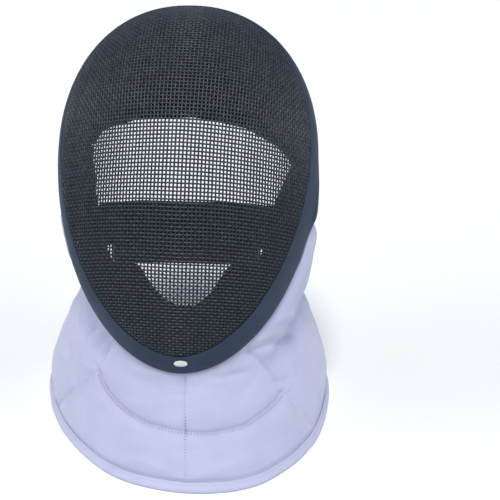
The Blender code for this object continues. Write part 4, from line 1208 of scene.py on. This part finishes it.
def clothLine(s, t, lift):
    # line on the outside of the cloth, with its normals
    p, n = bibRest(s, t), bibNormal(s, t)
    return p + n * (bib["wall"] / 2 + quiltLift(p, s, t) + lift)[:, None], n


def puckerRow(line, normals, v):
    run = runAlong(line)
    spots = np.arange(v["first"], run[-1] - v["last"], v["pitch"])
    at, face = (np.stack([np.interp(spots, run, part) for part in rows.T], -1) for rows in (line, normals))
    face = unit(face)
    across = unit(np.cross(unit(np.gradient(at, axis=0)), face))
    return [np.array((p + (out - way) * v["lift"], p + (out + way) * v["lift"]))
            for p, way, out in zip(at, across, face)]


bibLines, puckerShadeLines = [], []
for name, shares in seamShares.items():
    s, t = shares[shares[:, 1] < puckers["lastShare"]].T
    bibLines.append(clothLine(s, t, puckers["threadLift"])[0])
    if name == "centre":
        puckerShadeLines += puckerRow(*clothLine(s, t, puckers["threadLift"]), puckers)
    if name == "arc":
        puckerShadeLines += puckerRow(*clothLine(s, t + puckers["below"], puckers["arcLift"]), puckers)
bibStitches = sew("bibStitches", bibLines, "white_cloth", whiteThread, thread=0.0006, pitch=0.0026,
                  long=0.0018)
hemStitches = sew("bibBindingStitches", [hemLine], "white_cloth", whiteThread, thread=0.0005, long=0.0023)
bibPuckerShade = sew("bibPuckerShade", puckerShadeLines, "white_cloth", puckerShadeThread, thread=puckers["thick"], pitch=0.01,
                 long=puckers["long"])
print("stage: bib sewn")

# Rivet on the chin: a rolled rim, a shallow valley and a low dome, as (share of its size, millimetres up)
rivet = {"turn": 179.5, "way": 0.0156, "long": 0.0112, "tall": 0.0058, "base": 0.0014,
         "rings": ((0.90, -0.8), (0.98, -0.2), (1.0, 0.4), (0.985, 0.9), (0.94, 1.25), (0.88, 1.3),
                   (0.82, 1.2), (0.70, 1.3), (0.50, 1.5), (0.28, 1.65), (0.10, 1.7))}


def rivetPiece(v):
    paint = Paint("ivoryEnamel", (0.55, 0.545, 0.50), 0.34, Coat_Weight=0.2)
    paint.colourBy(paint.noise(420, 4), ((0.3, (0.44, 0.43, 0.40)), (0.6, (0.56, 0.555, 0.51))))
    paint.bump(paint.noise(900, 3), 0.12, 0.0001)
    frames = spokeFrame(np.array([math.radians(v["turn"])]), np.array([[v["way"]]]))
    centre, normal, toward = (part[0, 0] for part in frames)
    a = 2 * np.pi * np.arange(48) / 48
    oval = (np.outer(np.cos(a), np.cross(toward, normal)) * v["long"] / 2
            + np.outer(np.sin(a), toward) * v["tall"] / 2)
    rings = np.array([centre + normal * (v["base"] + up / 1000) + oval * grow for grow, up in v["rings"]])
    finish(loft("chinRivet", rings, paint.mat), "ivory_rivet", "chin_rivet")


rivetPiece(rivet)
print("stage: rivet set")

# Stage: floor, light and camera; the key light has a strength, a width in degrees and a colour
studio = {"floor": 40.0, "grey": 0.86, "skyColour": (0.74, 0.83, 1.0), "sky": 0.05, "sides": 9.0,
          "wallFront": 0.12, "wallBack": -0.38, "narrow": 4.0,
          "key": (3.0, 16, (1.0, 0.99, 0.97)), "keyFrom": (-0.05, -0.70, 1.30)}
# focal length and shift in pixels of a photo so many across, and the camera's place and axes
view = {"across": 500.0, "focal": 1089.0, "shift": 62.0, "sensor": 36.0, "near": 0.05, "far": 50.0,
        "right": (0.9978914, 0.0648869, 0.0015480), "up": (-0.0301497, 0.4422857, 0.8963673),
        "from": (0.056351, -0.819088, 0.408092)}


def floorPiece(v):
    half = v["floor"]
    mesh = bpy.data.meshes.new("floor")
    corners = [(-half, -half, 0), (half, -half, 0), (half, half, 0), (-half, half, 0)]
    mesh.from_pydata(corners, [], [(0, 1, 2, 3)])
    mesh.materials.append(Paint("paleFloor", (v["grey"],) * 3, 0.9).mat)
    newObject("floor", mesh)


def keyLight(v):
    # wide light from far off
    data = bpy.data.lights.new("keyLight", "SUN")
    data.energy, width, data.color = v["key"]
    data.angle = math.radians(width)
    lamp = newObject("keyLight", data)
    lamp.location = v["keyFrom"]
    lamp.rotation_euler = Vector(v["keyFrom"]).to_track_quat("Z", "Y").to_euler()


def cameraPiece(v):
    data = bpy.data.cameras.new("camera")
    data.sensor_width = v["sensor"]
    data.lens = v["focal"] * v["sensor"] / v["across"]
    data.shift_x = v["shift"] / v["across"]
    data.clip_start, data.clip_end = v["near"], v["far"]
    camera = newObject("camera", data)
    right = Vector(v["right"])
    back = right.cross(Vector(v["up"])).normalized()
    up = back.cross(right)
    camera.location = Vector(place.tolist()) + Vector(v["from"])
    camera.rotation_euler = Matrix((right, up, back)).transposed().to_euler()
    scene.camera = camera


def skyPiece(v):
    # dim room with a broad pale wall on either side, a little before the mask
    world = bpy.data.worlds.new("studio")
    world.use_nodes = True
    tree = world.node_tree
    coords = addNode(tree, "ShaderNodeTexCoord")
    parts = addNode(tree, "ShaderNodeSeparateXYZ", {0: coords.outputs["Generated"]}).outputs
    side = addNode(tree, "ShaderNodeMath", {0: parts["X"], 1: v["narrow"]}, operation="POWER")
    front = addNode(tree, "ShaderNodeMapRange",
                    {"Value": parts["Y"], "From Min": v["wallFront"], "From Max": v["wallBack"],
                     "To Min": 0.0, "To Max": v["sides"]}, interpolation_type="SMOOTHSTEP")
    walls = addNode(tree, "ShaderNodeMath", {0: side.outputs[0], 1: front.outputs["Result"], 2: v["sky"]},
                    operation="MULTIPLY_ADD")
    back = tree.nodes["Background"].inputs
    back["Color"].default_value = (*v["skyColour"], 1.0)
    tree.links.new(walls.outputs[0], back["Strength"])
    scene.world = world


floorPiece(studio)
cameraPiece(view)
keyLight(studio)
skyPiece(studio)
scene.view_settings.view_transform = "Standard"
print("stage: studio lit")
